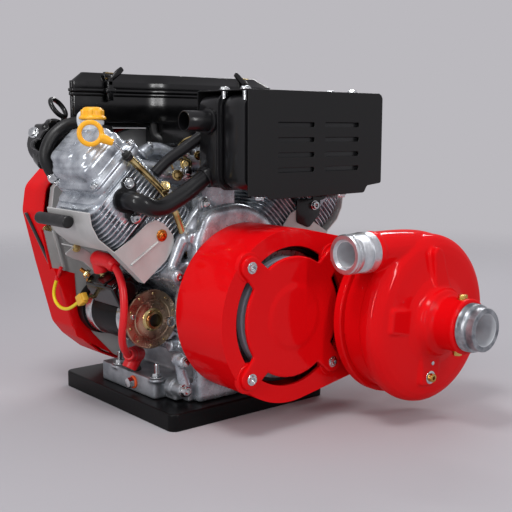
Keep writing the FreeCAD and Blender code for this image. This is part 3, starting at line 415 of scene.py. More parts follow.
def path(points, radius, sides=20):
    # a closed round bar along a smooth line
    holder = bpy.data.objects.new("line", smoothLine("line", points, radius, 8, sides // 4))
    data = bpy.data.meshes.new_from_object(holder)
    part = bmesh.new()
    part.from_mesh(data)
    bpy.data.objects.remove(holder)
    bmesh.ops.remove_doubles(part, verts=part.verts, dist=1e-3)
    bmesh.ops.recalc_face_normals(part, faces=part.faces)
    return part


def joinTo(mesh, *parts, turn=None):
    # adds shapes to a mesh, turned into place where a matrix is given
    for part in parts:
        if turn is not None:
            bmesh.ops.transform(part, matrix=turn, verts=part.verts)
            if turn.determinant() < 0:
                bmesh.ops.reverse_faces(part, faces=part.faces)
        data = bpy.data.meshes.new("part")
        part.to_mesh(data)
        part.free()
        mesh.from_mesh(data)
        bpy.data.meshes.remove(data)
    return mesh


def joined(*parts, turn=None):
    # the same, onto an empty mesh
    return joinTo(bmesh.new(), *parts, turn=turn)


def worked(mesh, kind, **settings):
    # the mesh after one modifier
    data = bpy.data.meshes.new("work")
    mesh.to_mesh(data)
    mesh.free()
    holder = bpy.data.objects.new("work", data)
    scene.collection.objects.link(holder)
    step = holder.modifiers.new("step", kind)
    cutter = settings.pop("cutter", None)
    if cutter is not None:
        cutterData = bpy.data.meshes.new("cutter")
        cutter.to_mesh(cutterData)
        cutter.free()
        tool = bpy.data.objects.new("cutter", cutterData)
        scene.collection.objects.link(tool)
        step.object = tool
    for key, value in settings.items():
        setattr(step, key, value)
    done = bpy.data.meshes.new_from_object(holder.evaluated_get(bpy.context.evaluated_depsgraph_get()))
    result = bmesh.new()
    result.from_mesh(done)
    bpy.data.meshes.remove(done)
    bpy.data.objects.remove(holder)
    if cutter is not None:
        bpy.data.objects.remove(tool)
    return result


def melted(mesh, voxel, softness):
    # overlapping closed shapes become one casting with soft corners
    mesh = worked(mesh, "REMESH", mode="VOXEL", voxel_size=voxel)
    return worked(mesh, "SMOOTH", factor=0.5, iterations=softness)


def carved(mesh, *cutters):
    # the mesh without the space of the cutters
    return worked(mesh, "BOOLEAN", cutter=joined(*cutters), operation="DIFFERENCE", solver="EXACT")


def bankTurn(side):
    # from a bank's own frame (along the crank, across, outward) to the frame of the pump
    slant = math.sqrt(0.5)
    turn = Matrix(((1, 0, 0, 0), (0, slant, -slant, 0), (0, slant, slant, crankHeight), (0, 0, 0, 1)))
    return turn if side < 0 else Matrix.Diagonal((1, -1, 1, 1)) @ turn


# pump: volute casting, melted from its turned body and the scroll on top

pump = {
    "axis": (181, 145.5), "discharge": (303, 248),
    "profile": [(266, 0), (266, 112), (297, 112), (299.5, 114.5), (303, 118.5), (309, 120.5), (316, 121),
                (323, 119.5), (329, 115), (334, 107), (336.5, 96), (338, 80), (340, 64), (345, 51), (350, 47),
                (355, 46), (357.5, 43.5), (359, 38.8), (362, 37.3), (389, 37.2), (390.5, 38.8), (397, 38.8),
                (397, 0)],
    # centre line of the scroll with its radius
    "scroll": [(303, 74, 248, 27), (303, 112, 248, 27), (303, 150, 247.5, 26.5), (303, 181, 245, 25.5),
               (303, 212, 238, 24), (303, 240, 224, 21.5), (303, 261, 203, 18), (303, 273, 178, 14)],
    "rib": [(164, 244), (173, 252), (184, 245), (202, 192), (170, 192)],
    # drain boss with its foot, and the pad beside the hub
    "drainBoss": [(147, 56), (182, 52), (188, 62), (185, 108), (146, 114)],
    "pad": [(84, 138), (128, 131), (130, 166), (88, 172)],
    "suctionBore": 22.9, "dischargeBore": 18, "voxel": 1.9, "softness": 4,
}


def makeVolute():
    y, z = pump["axis"]
    outX, outZ = pump["discharge"]
    mesh = joined(turned(pump["profile"], (0, y, z), toX, 128), path(pump["scroll"], 27, 40),
                  slab(pump["rib"], 320, 347, corner=4, edge=1.0),
                  slab(pump["drainBoss"], 320, 343.5, corner=5, edge=0.8),
                  slab(pump["pad"], 318, 341.5, corner=3, edge=0.8),
                  rod((outX, 75, outZ), toY, 28.2, 9, sides=64))
    mesh = melted(mesh, pump["voxel"], pump["softness"])
    mesh = carved(mesh, rod((330, y, z), toX, pump["suctionBore"], 80, sides=64),
                  rod((outX, 60, outZ), toY, pump["dischargeBore"], 70, sides=64))
    standIn("pumpVolute", mesh, "redEnamel", "pump_volute", smoothAngle=50)


def threads(start, end, radius, depth, pitch):
    # a fine thread as a zigzag profile
    count = int((end - start) / pitch)
    return [(start + pitch * (i + part), radius - depth * (part != 0.5)) for i in range(count)
            for part in (0, 0.5)] + [(end, radius - depth)]


def makeNipples():
    y, z = pump["axis"]
    outX, outZ = pump["discharge"]
    bore = pump["suctionBore"]
    rim = [(423, bore), (423, 29.2), (422.2, 30), (411, 30.15), (409.8, 32.6)]
    wall = [(397.5, 33.7), (397, 33.2), (397, bore)]
    back = list(reversed(threads(399, 409, 33.7, 0.8, 1.7)))
    # pale liner in the suction bore: painted reflection of the studio
    liner = [(348, bore), (422.4, bore), (422.8, 22.6), (422.4, 22.2), (348, 22.2), (348, bore)]
    finishMesh("suctionLiner", turned(liner, (0, y, z), toX), "boreAluminiumPaintedReflection", "suction_nipple")
    standIn("suctionNipple", turned(rim + back + wall + [rim[0]], (0, y, z), toX), "turnedX",
            "suction_nipple", smoothAngle=30)
    bore = pump["dischargeBore"]
    rim = [(30, 20.6), (30, 25.6), (31.4, 27), (35, 27.2), (35.4, 26.0), (37, 26.0), (37.4, 27.0), (42, 27.0)]
    back = threads(44, 60, 27.0, 0.8, 1.6)
    wall = [(60.4, 27.6), (61, 28), (74.4, 28), (75, 27.4), (75, bore), (34, bore), (30, 20.6)]
    # pale liner in the discharge bore: painted reflection of the studio
    liner = [(34, bore), (128, bore), (128, 17.4), (34, 17.4), (34, bore)]
    finishMesh("dischargeLiner", turned(liner, (outX, 0, outZ), toY), "boreAluminiumPaintedReflection", "discharge_nipple")
    standIn("dischargeNipple", turned(rim + back + wall, (outX, 0, outZ), toY), "turnedY",
            "discharge_nipple", smoothAngle=30)


def makePumpPlugs():
    y, z = pump["axis"]
    mesh = joined(bolt((383, y, z + 36.4), toZ, 6.5, 7, washer=8, sides=6),
                  bolt((377, y, z - 36.4), (0, 0, -1), 6.5, 7, washer=8, sides=6),
                  bolt((343.4, 166, 66), toX, 6.3, 6.5, socket=3.2, sides=8))
    standIn("pumpPlugs", mesh, "brass", "pump_plugs")
    washer = joinTo(rod((342.8, 166, 66), toX, 9.5, 1.8, edge=0.5),
                    rod((342.8, 170, 86), toX, 3, 1.8, edge=0.5))
    finishMesh("drainWasher", washer, "zinc", "pump_plugs")


makeVolute()
makeNipples()
makePumpPlugs()
print("stage: pump made")

# drive housing with its rounded rim, and the cover over the front

housing = {
    "front": 234.0, "crank": crankHeight, "boltAt": 75.0, "rimRound": 6.0, "padRadius": 22.0,
    "coverRadius": 84.0, "coverThickness": 6.0, "lobeRadius": 15.5,
    # the two rounds of the front: the crankshaft's end, and the pump's with its centre
    "crankRound": 110.0, "pumpRound": 87.0, "pumpCentre": (181.0, 154.0), "halfHeight": 80.0,
}


def makeHousing():
    front, crank = housing["front"], housing["crank"]
    mesh = mergedCopy("drive_housing")

    pumpY, pumpZ = housing["pumpCentre"]

    def onRim(v):
        # on the front's outer edge, around the crankshaft's end or around the pump's
        if v.co.y < 40:
            outside = math.hypot(v.co.y, v.co.z - crank) > housing["crankRound"]
        else:
            away = math.hypot(v.co.y - pumpY, v.co.z - pumpZ) - housing["pumpRound"]
            outside = abs(away) < 12 or abs(v.co.z - crank) > housing["halfHeight"]
        return outside and abs(v.co.x - front) < 0.05

    outer = [e for e in mesh.edges if all(onRim(v) for v in e.verts)]
    bmesh.ops.bevel(mesh, geom=outer, offset=housing["rimRound"], segments=5, affect="EDGES", profile=0.5,
                    material=-1, clamp_overlap=True)
    at = housing["boltAt"]
    corners = [(y, z) for y in (-at, at) for z in (-at, at)]
    for y, z in corners:
        joinTo(mesh, rod((front - 4, y, crank + z), toX, housing["padRadius"], 5.2, tip=20, edge=1))
    standIn("driveHousing", mesh, "redEnamel", "drive_housing", bevel=1.0)
    back, thickness = front + 0.2, housing["coverThickness"]
    cover = joined(rod((back, 0, crank), toX, housing["coverRadius"], thickness, sides=128),
                   rod((back, 0, crank), toX, 74, thickness + 1.6, tip=40, sides=128))
    for y, z in corners:
        arm = slab([(60, -20), (78, -18), (100, -15.5), (106, -15.5), (106, 15.5), (100, 15.5), (78, 18),
                    (60, 20)], back, back + thickness)
        joinTo(cover, rod((back, y, crank + z), toX, housing["lobeRadius"], thickness))
        joinTo(cover, arm, turn=Matrix.Translation((0, 0, crank)) @ Matrix.Rotation(math.atan2(z, y), 4, "X"))
    cover = melted(cover, 1.4, 7)
    standIn("driveCover", cover, "redEnamel", "drive_cover", smoothAngle=60)
    bolts = [bolt((back + thickness - 0.4, y, crank + z), toX, 6.2, 4.6, washer=8.0, socket=3.4)
             for y, z in corners]
    standIn("coverBolts", joined(*bolts), "zinc", "cover_bolts")
    # pale grey lip on the pulley's rim: a painted highlight for the lit rim seen through the slots
    rim = [(214, 70), (226, 70), (226, 80), (224, 81.5), (214, 81.5), (214, 70)]
    finishMesh("pulleyRim", turned(rim, (0, 0, crank), toX), "pulleyRimPaintedHighlight", "drive_pulley")


makeHousing()
print("stage: housing made")

# muffler: pressed shell with a rolled seam, its outlet, and the guard over it

muffler = {
    "left": -67.0, "right": 176.0, "bottom": 331.0, "top": 458.0, "rear": 110.0, "front": 213.0,
    "corner": 17.0, "seam": 158.0, "seamProud": 2.4, "outlet": (137.0, 422.5), "outletEnd": -109.0,
}
guard = {
    "face": 217.0, "sheet": 1.6, "left": -63.0, "right": 193.0, "bottom": 324.0, "top": 464.0, "rear": 105.0,
    "slotLength": 68.0, "slotHeight": 6.5, "slotRows": (353.5, 374.0, 394.5, 415.0),
    "slotStarts": (-12.0, 76.0),
}


def makeMuffler():
    m = muffler

    def shell(grow, x0, x1, edge):
        outline = rectangle(m["left"] - grow, m["bottom"] - grow, m["right"] + grow, m["top"] + grow)
        return slab(outline, x0, x1, corner=m["corner"], edge=edge)

    x, z = m["outlet"]
    end = m["outletEnd"]
    stub = turned([(end, 12.4), (end, 13.4), (end + 0.8, 14), (m["left"] - 5, 14), (m["left"] - 4.5, 17),
                   (m["left"] - 2, 18.2), (m["left"] + 2, 18.2), (m["left"] + 30, 18), (m["left"] + 30, 12.4),
                   (end, 12.4)], (x, 0, z), toY, 48)
    rear = carved(shell(0, m["rear"], m["seam"] - 3, 7), rod((x, m["left"] - 5, z), toY, 15, 40))
    mesh = joinTo(rear, shell(-0.6, m["seam"] - 6, m["seam"] + 6, 0), shell(0, m["seam"] + 3, m["front"], 14),
                  shell(m["seamProud"], m["seam"] - 1.8, m["seam"] + 1.8, 1.2), stub,
                  # collar where an exhaust pipe runs in
                  rod((128, m["left"] + 8, 350), (-0.1, -0.85, -0.5), 15.5, 12, edge=1.5))
    standIn("mufflerShell", mesh, "blackStove", "muffler_body", smoothAngle=40)


def makeGuard():
    g = guard
    face, sheet = g["face"], g["sheet"]
    plate = slab([(g["left"], g["bottom"]), (g["left"], g["top"]), (g["right"], g["top"]),
                  (g["right"], g["bottom"] + 9), (g["right"] - 30, g["bottom"] + 6),
                  (g["right"] - 36, g["bottom"] - 4), (g["left"] + 36, g["bottom"] - 6),
                  (g["left"] + 34, g["bottom"])], face - sheet, face, corner=3, corners=[3, 4, 5, 6, 7])
    corner = slab([(g["right"] - 9, g["top"] + 1), (g["right"] + 1, g["top"] + 1),
                   (g["right"] + 1, g["top"] - 9), (g["right"] - 2.6, g["top"] - 2.6)], face - 5, face + 1)
    slots = [slab(rectangle(y, z, y + g["slotLength"], z + g["slotHeight"]), face - 5, face + 1, corner=2.4)
             for z in g["slotRows"] for y in g["slotStarts"]]
    plate = carved(plate, corner, *slots)
    roundEdges(plate, 0.6, 2, lambda e: min(v.co.x for v in e.verts) > face - 0.1)
    top = block((g["rear"], g["left"], g["top"] - sheet), (face - 0.5, g["right"] - 8, g["top"]), 0.6)
    flange = slab(rectangle(g["left"], g["top"] - 44, g["left"] + 90, g["top"]), g["rear"], g["rear"] + sheet,
                  corner=12, corners=[0])
    standIn("mufflerGuard", joined(plate, top, flange), "blackPowder", "muffler_guard", smoothAngle=20)
    # dark backs of the louvres behind the slots
    floors = [block((face - 7, y - 2, z - 3), (face - 5.4, y + g["slotLength"] + 2, z + g["slotHeight"] + 2))
              for z in g["slotRows"] for y in g["slotStarts"]]
    finishMesh("guardLouvres", joined(*floors), "blackNylon", "muffler_guard")
    parts = []
    for x in (160, 205):
        for y in (-58, 141):
            parts += [rod((x, y, 450), toZ, 4.0, 12.3), bolt((x, y, 464), toZ, 6.4, 4.2, washer=7.4)]
    parts += [bolt((205, y, z), (0, 0, -1), 6.4, 5, washer=8) for y, z in ((-34, 322), (121, 319))]
    standIn("guardScrews", joined(*parts), "zinc", "muffler_mounts")


makeMuffler()
makeGuard()
print("stage: muffler made")

# cylinder banks, built in the bank's own frame: along the crank, across, outward

bank = {
    "front": 98.0, "rear": -14.0, "finThickness": 2.0, "pitch": 6.6, "corner": 20.0, "depth": 7.5,
    # how far the fins stand out on the lower side, by distance from the crank
    "reach": ((100, 54), (176, 56), (204, 74), (233, 77), (253, 71), (268, 60), (279, 36)),
    "upperBarrel": 54.0, "upperHead": 50.0, "barrelStart": 113.0, "headStart": 200.0, "headEnd": 270.0,
}


def lowReach(out):
    for (near, nearReach), (far, farReach) in zip(bank["reach"], bank["reach"][1:]):
        if near <= out <= far:
            return nearReach + (farReach - nearReach) * (out - near) / (far - near)
    return bank["reach"][-1][1]


def finOutline(out, upper, inset):
    low = -min(lowReach(out), lowReach(out + bank["finThickness"])) + inset
    return rectangle(bank["rear"] + inset, low, bank["front"] - inset, upper - inset)


def makeBank(side, word):
    turn = bankTurn(side)
    spans = {"Cylinder": (bank["barrelStart"], bank["headStart"] - 3, bank["upperBarrel"]),
             "Head": (bank["headStart"], bank["headEnd"], bank["upperHead"])}
    for name, (start, end, upper) in spans.items():
        mesh = bmesh.new()
        out = start
        while out + bank["pitch"] < end + 1:
            joinTo(mesh, slab(finOutline(out, upper, 0), out, out + bank["finThickness"], "Z",
                              corner=bank["corner"], edge=0.7),
                   slab(finOutline(out, upper, bank["depth"]), out - 0.3, out + bank["pitch"] + 0.3, "Z",
                        corner=bank["corner"] - 4), turn=turn)
            out += bank["pitch"]
        if name == "Head":
            # gasket rim, rocker seat, port boss and the pillars between the fins
            pillars = [rod((x, w, 201), toZ, 6.5, 62, edge=2)
                       for x, w in ((86, 40), (4, 40), (86, -48), (30, -60), (60, -60))]
            joinTo(mesh, slab(rectangle(-14, -36, 98, 56), 268, 277, "Z", corner=12, edge=1),
                   slab(rectangle(-10, -50, 94, 46), 258, 269, "Z", corner=14, edge=1.5),
                   slab(rectangle(76, -40, 97.8, 14), 216, 262, "Z", corner=6, edge=2), *pillars, turn=turn)
        node = word + "_cylinder" + ("_head" if name == "Head" else "")
        standIn(word + name, mesh, "castAluminium", node)


valveCover = {
    "foot": 277.0, "rear": -14.0, "front": 98.0, "low": -36.0, "high": 56.0,
    "ribs": (-8, 4, 16, 28), "voxel": 1.7,
}


def makeValveCover(side, word):
    v = valveCover
    foot = v["foot"]
    ring = rectangle(v["rear"], v["low"], v["front"], v["high"])

    def shrunk(by):
        return [(x + (by if x < 40 else -by), w + (by if w < 10 else -by)) for x, w in ring]

    def layer(outline, start, end, corner, edge):
        return slab(outline, foot + start, foot + end, "Z", corner=corner, edge=edge)

    mesh = joined(layer(shrunk(0), 0, 5, 12, 1), layer(shrunk(3), 0, 9, 13, 2),
                  layer(shrunk(6.5), 0, 30, 16, 5), layer(shrunk(10), 0, 38, 16, 9),
                  # plateau over the rear half, saddle over the front half
                  layer(rectangle(-2, -20, 58, 40), 20, 46, 14, 6),
                  layer(rectangle(30, -14, 86, 46), 20, 43, 12, 8))
    mesh = melted(mesh, v["voxel"], 4)
    # plain raised ribs on the plateau
    for row in v["ribs"]:
        joinTo(mesh, layer([(6, row), (48, row), (48, row + 6), (6, row + 6)], 44.6, 46.6, 2, 0.8))
    bmesh.ops.transform(mesh, matrix=bankTurn(side), verts=mesh.verts)
    if side > 0:
        bmesh.ops.reverse_faces(mesh, faces=mesh.faces)
    node = word + "_valve_cover"
    standIn(word + "ValveCover", mesh, "castAluminium", node, smoothAngle=45)
    bolts = joined(*[bolt((x, w, foot + 5), toZ, 5, 5, washer=6.6, socket=2.6, sides=24)
                     for x in (-7, 91) for w in (-29, 49)], turn=bankTurn(side))
    finishMesh(word + "CoverBolts", bolts, "zinc", node)


for side, word in ((-1, "left"), (1, "right")):
    makeBank(side, word)
    makeValveCover(side, word)
print("stage: banks made")

# engine block: the casting with its bosses, the rough foot, studs and plugs

engineBlock = {
    "rim": 103.0, "voxel": 2.4, "softness": 4,
    "crown": [(-86, 158), (-86, 252), (-66, 300), (-4, 308), (30, 296), (62, 268), (86, 240), (86, 158)],
    "ribs": (-40, 8, 52),
    "bosses": [((84, -112, 210), toX, 9.5, 42), ((92, -56, 307), toX, 11, 20),
               ((100, -84, 262), toX, 9, 24), ((96, -98, 86), toX, 9, 26),
               ((60, -74, 96), (0, -1, 0), 10, 12), ((40, -94, 218), toX, 12, 60)],
}


def makeBlock():
    e = engineBlock
    half = [(-72, 86), (-72, 168), (-114.6, 201.8), (-43.8, 272.6), (-16, 246)]
    mesh = joinTo(slab(half + [(-y, z) for y, z in reversed(half)], -80, 112),
                  turned([(100, 0), (100, e["rim"]), (108, e["rim"]), (110, 101), (116, 99), (131.4, 97),
                          (131.4, 0)], (0, 0, crankHeight), toX),
                  block((112, -82, 25.2), (131.4, 82, crankHeight), 5),
                  slab(e["crown"], 104, 131.4, corner=16, edge=7), *[rod(*boss) for boss in e["bosses"]],
                  *[path([(118, y, 190, 6), (131, y * 0.95, 226, 7), (130, y * 0.9, 254, 6),
                          (118, y * 0.85, 270, 4)], 5, 16) for y in e["ribs"]],
                  path([(100, -112, 206, 8), (106, -100, 240, 9), (106, -84, 272, 10), (104, -58, 296, 12)],
                       9, 16), path([(104, -100, 96, 7), (108, -98, 70, 8), (112, -92, 46, 9)], 8, 16),
                  *[block((-80, -75.5, z), (104, -70, z + 5)) for z in (92, 118, 150)],
                  *[block((x, -76, 86), (x + 6, -70, 166)) for x in (-50, -10, 30, 80)])
    mesh = melted(mesh, e["voxel"], e["softness"])
    standIn("crankcaseCasting", mesh, "castAluminium", "crankcase", smoothAngle=50)
    studs = bmesh.new()
    for x in (-31.4, 70.0):
        for y in (-113, 113):
            joinTo(studs, bolt((x, y, 56), toZ, 7.4, 6.5, washer=10.6),
                   turned([(60, 0), (60, 3.6)] + threads(62, 75, 4.0, 0.5, 1.4) + [(76, 3), (76, 0)],
                          (x, y, 0), toZ, 24))
    standIn("footStuds", studs, "zinc", "foot_studs")
    plugs = joined(bolt((22, -124.6, 40), (0, -1, 0), 8, 9),
                   bolt((117, -98, 44), toX, 7.6, 9, washer=9.4, socket=4.6, sides=12),
                   bolt((121.6, -98, 86), toX, 5, 4, washer=6.4),
                   bolt((111.6, -56, 307), toX, 6, 5, washer=8.4, socket=3.0),
                   bolt((125, -112, 210), toX, 5.5, 3.5, socket=2.8, sides=24))
    standIn("blockPlugs", plugs, "zinc", "drain_plugs")
    finishMesh("sealRing", rod((22, -121.6, 40), (0, -1, 0), 9.6, 3, edge=0.8), "fibre", "drain_plugs")
    boss = melted(joined(rod((84, -98, 44), toX, 10.5, 33), rod((84, -98, 44), toX, 14, 14),
                         block((76, -104, 26), (104, -70, 46), 3)), 1.6, 3)
    finishMesh("drainBoss", boss, "roughCast", "engine_sump", smoothAngle=50)
    foot = melted(joinTo(mergedCopy("engine_sump"), rod((-31.4, -113, 50), toZ, 13, 5),
                         rod((70, -113, 50), toZ, 13, 5), rod((22, -121, 40), (0, -1, 0), 12, 1.2)), 1.9, 3)
    standIn("sumpCasting", foot, "roughCast", "engine_sump", smoothAngle=50)


makeBlock()
print("stage: block made")

# starter, solenoid, terminals, and the boots and plug at the cords' ends

starter = {
    "y": -118.0, "z": 141.5, "front": 62.0, "plateRadius": 43.0, "dimples": 10, "dimpleAt": 37.5,
}


def makeStarter():
    y, z, front = starter["y"], starter["z"], starter["front"]
    body = turned([(-79.5, 0), (-79.5, 40), (-69, 43), (-58, 42), (-57, 38.2), (54, 38.2), (55, 41), (62, 41),
                   (62, 0)], (0, y, z), toX)
    standIn("starterBody", body, "blackGloss", "starter_motor")
    bands = joined(turned([(-56, 0), (-56, 39.6), (-40, 39.6), (-39, 38), (-39, 0)], (0, y, z), toX),
                   turned([(32, 0), (32, 38.6), (44, 38.6), (44, 0)], (0, y, z), toX))
    finishMesh("starterBands", bands, "zinc", "starter_motor")
    r = starter["plateRadius"]
    plate = turned([(front, 0), (front, r - 1), (front + 1, r), (front + 4, r), (front + 5, r - 1),
                    (front + 5, 31), (front + 4, 30), (front + 4, 28.5), (front + 5, 27.5), (front + 5, 21),
                    (front + 6.5, 18), (front + 6.5, 0)], (0, y, z), toX)
    standIn("starterEndPlate", plate, "bronzePlate", "starter_end_plate")
    hub = turned([(front + 5, 17.5), (front + 8, 16), (front + 9, 13), (front + 14, 12.4), (front + 14, 9.5),
                  (front + 9, 9), (front + 5, 9), (front + 5, 17.5)], (0, y, z), toX)
    spots = []
    for i in range(starter["dimples"]):
        turn = math.tau * (i + 0.4) / starter["dimples"]
        spots.append(ball((front + 4.4, y + starter["dimpleAt"] * math.cos(turn),
                           z + starter["dimpleAt"] * math.sin(turn)), 2.3, (0.6, 1, 1)))
    finishMesh("starterHub", joinTo(hub, *spots), "yellowZinc", "starter_end_plate", smoothAngle=50)
    # black disc inside the hub's bore: painted shade of the hole
    finishMesh("starterBorePaintedShade", rod((front + 6.6, y, z), toX, 9.2, 0.8), "blackNylon", "starter_end_plate")
    bolts = joinTo(bolt((67, -86, 134), toX, 5.6, 6, washer=7.5, sides=24),
                   bolt((67, -150, 149), toX, 3.4, 2.4, sides=24))
    finishMesh("starterBolt", bolts, "zinc", "starter_end_plate")


def makeSolenoid():
    lean = Matrix.Translation((0, -156, 186)) @ Matrix.Rotation(math.radians(28), 4, "X")
    mesh = joined(block((-14, -19, -18), (60, 19, 16), 3), block((8, -17, 12), (38, 10, 19), 2),
                  block((42, -15, 12), (56, 12, 18), 1.5), rod((-26, 0, 0), toX, 15, 90, edge=2),
                  block((-2, -8, -46), (50, 10, -10), 2), turn=lean)
    standIn("solenoidBody", mesh, "blackAbs", "starter_solenoid", bevel=0.6)
    posts = joined(rod((3, -160, 200), toZ, 4, 10), bolt((3, -160, 204), toZ, 7.4, 4, washer=8.6),
                   bolt((-26, -168, 200), (-0.5, -0.6, 0.6), 6.2, 5, washer=8),
                   bolt((-26, -158, 188), (-0.9, -0.4, 0.2), 6.2, 5, washer=7.6),
                   rod((-4, -166, 171), (0, -1, 0), 3, 24))
    standIn("cableTerminals", posts, "yellowZinc", "cable_terminals")
    studs = joined(rod((-24, -166, 198), (-0.5, -0.6, 0.6), 3.1, 17, edge=0.5),
                   rod((-24, -156, 187), (-0.9, -0.4, 0.2), 3.1, 16, edge=0.5))
    finishMesh("copperStud", studs, "copperTone", "cable_terminals")
    finishMesh("bootPost", rod((8, -113, 53.9), toZ, 11.4, 6.2, tip=9.8, edge=1), "blackRubber",
               "cable_terminals")


def makeBoots():
    # soft elbows moulded over the cable's ends
    upper = joined(rod((3, -161, 207), (0, -0.25, 1), 11.5, 20), ball((3, -166, 226), 12.6),
                   path([(3, -166, 226, 12), (16, -165, 227, 11), (30, -163, 224, 10),
                         (42, -162, 218.5, 8.4)], 11, 24), rod((35, -162.4, 222), (1, 0, -0.4), 10.6, 4))
    lower = joined(rod((8, -121, 57), (0, 0.5, 0.85), 12, 20), ball((9, -108, 78), 12.8),
                   path([(9, -108, 78, 12.4), (18, -118, 81, 11.6), (26, -128, 83, 10.4),
                         (36, -139, 87, 8.6)], 11, 24), rod((25, -127, 82.6), (1, -1.1, 0.4), 11.2, 4))
    for word, mesh in (("upper", upper), ("lower", lower)):
        finishMesh(word + "Boot", melted(mesh, 1.2, 5), "redVinyl", "cable_boots",
                   ["cable_boots"] if word == "upper" else (), smoothAngle=60)
    plug = Matrix.Translation((-14, -190, 164)) @ turnTo((13, 1, 8))
    standIn("wirePlug", joined(block((-5.4, -7.6, 1), (5.4, 7.6, 15), 1.2),
                               block((-4, -6, 14), (4, 6, 20), 1), rod((0, 0, -2), toZ, 3.4, 6, edge=0.6),
                               turn=plug), "yellowPlug", "wire_ends")
    away = Vector((-84, -188, 188)) - Vector((-94, -189, 172))
    finishMesh("wireSleeve", rod((-85, -188.1, 186.4), away, 3.5, 24, tip=2.8, edge=0.8), "redVinyl",
               "wire_ends")


makeStarter()
makeSolenoid()
makeBoots()
print("stage: starter made")

# fan housing: vent slit, screws, the lips beside it and the duct's bracket

blower = {
    "screws": [(-93, -167, 178), (-93, -128, 84), (-93, -198, 262)],
    # how far the housing's side leans, in degrees
    "slope": 13.4,
    # red lip that folds over the back plate's left edge
    "lip": [(-196, 206), (-175, 148), (-160, 96), (-90, 53.5), (-97, 59), (-132, 97), (-151, 124),
            (-159.5, 160), (-161, 194)],
    "bracket": [(-214, 236), (-200, 246), (-189, 245), (-171, 233), (-157, 210), (-164, 204), (-184, 222),
                (-200, 228)],
}


def makeBlowerTrim():
    # on the housing's sloping side: across is along the crank, up is up the slope
    slope = Matrix.Rotation(math.radians(blower["slope"]), 4, "X")
    side = Matrix.Translation((-126, -195.5, 247)) @ slope
    slit = [(-23, 38), (-15.4, 39), (26, -44), (18.4, -46)]
    # black strip along the vent slit: painted shade of the opening
    finishMesh("ventSlitPaintedShade", joined(slab(slit, -2.6, 0.4, "Y", corner=3, edge=0.4), turn=side), "blackNylon",
               "blower_housing")
    finishMesh("ventRim", joined(slab([(a - 1.6, b) for a, b in slit], -2.2, 0.4, "Y", corner=3, edge=0.4),
                                 turn=side), "roughCast", "blower_housing")
    lip = joinTo(slab([(-211, 264), (-196.6, 260), (-182, 202.6), (-198.4, 206)], -80.5, -78.8),
                 slab([(-197, 262), (-192, 262), (-176, 202), (-180, 200)], -80.5, -76, edge=0.6))
    finishMesh("ductLip", lip, "sheetAluminium", "fan_backplate")
    finishMesh("frontLip", slab(blower["lip"], -80.4, -78.8, edge=0.4), "redEnamel", "blower_housing")
    finishMesh("ductEdge", slab([(-214.6, 265), (-211, 264), (-198.4, 206), (-202, 204)], -80.5, -78.2),
               "redEnamel", "blower_housing")
    screws = [bolt(place, (1, -0.2, 0), 5, 4, washer=6.6, socket=2.6, sides=24) for place in blower["screws"]]
    screws += [bolt((-7, -196, 243), (0.9, -0.4, 0.4), 4.4, 4, washer=6)]
    finishMesh("blowerScrews", joined(*screws), "yellowZinc", "blower_housing")
    flap = slab([(-200, 245), (-190, 244), (-172, 232), (-172, 234), (-190, 246), (-200, 247)], -44, -8)
    finishMesh("ductBracket", joinTo(slab(blower["bracket"], -10, -7.5, corner=3, edge=0.5), flap),
               "sheetAluminium", "fan_backplate", bevel=0.4)


makeBlowerTrim()
print("stage: fan housing made")

# air cleaner: moulded box with a stepped front, and its bevelled lid

airCleaner = {
    "front": -30.0, "rear": -165.0, "left": -185.0, "right": 192.0, "taper": 84.0,
    # where the front steps back, and by how much
    "stepAt": -37.0, "step": 8.0,
    "bottom": 420.0, "lip": 464.0, "top": 493.0, "bevelFrom": 478.0, "bevelIn": 11.0,
    "bevelEnds": 24.0, "endsFrom": 80.0,
}


def cleanerLayer(grow, bottom, top, corner, edge=0.0):
    # one layer of the box, which narrows to the rear and has an S-shaped step in its front
    a = airCleaner
    front, rear = a["front"] + grow, a["rear"] - grow
    left, right = a["left"] - grow, a["right"] + grow
    step = [(front - a["step"] * (1 + math.cos(math.pi * i / 9)) / 2, a["stepAt"] - 22 + 44 * i / 9)
            for i in range(10)]
    outline = [(front - a["step"], left), *step, (front, right), (rear, right - a["taper"]),
               (rear, left + a["taper"])]
    return slab(outline, bottom, top, "Z", corner=corner, corners=[0, 11, 12, 13], edge=edge)


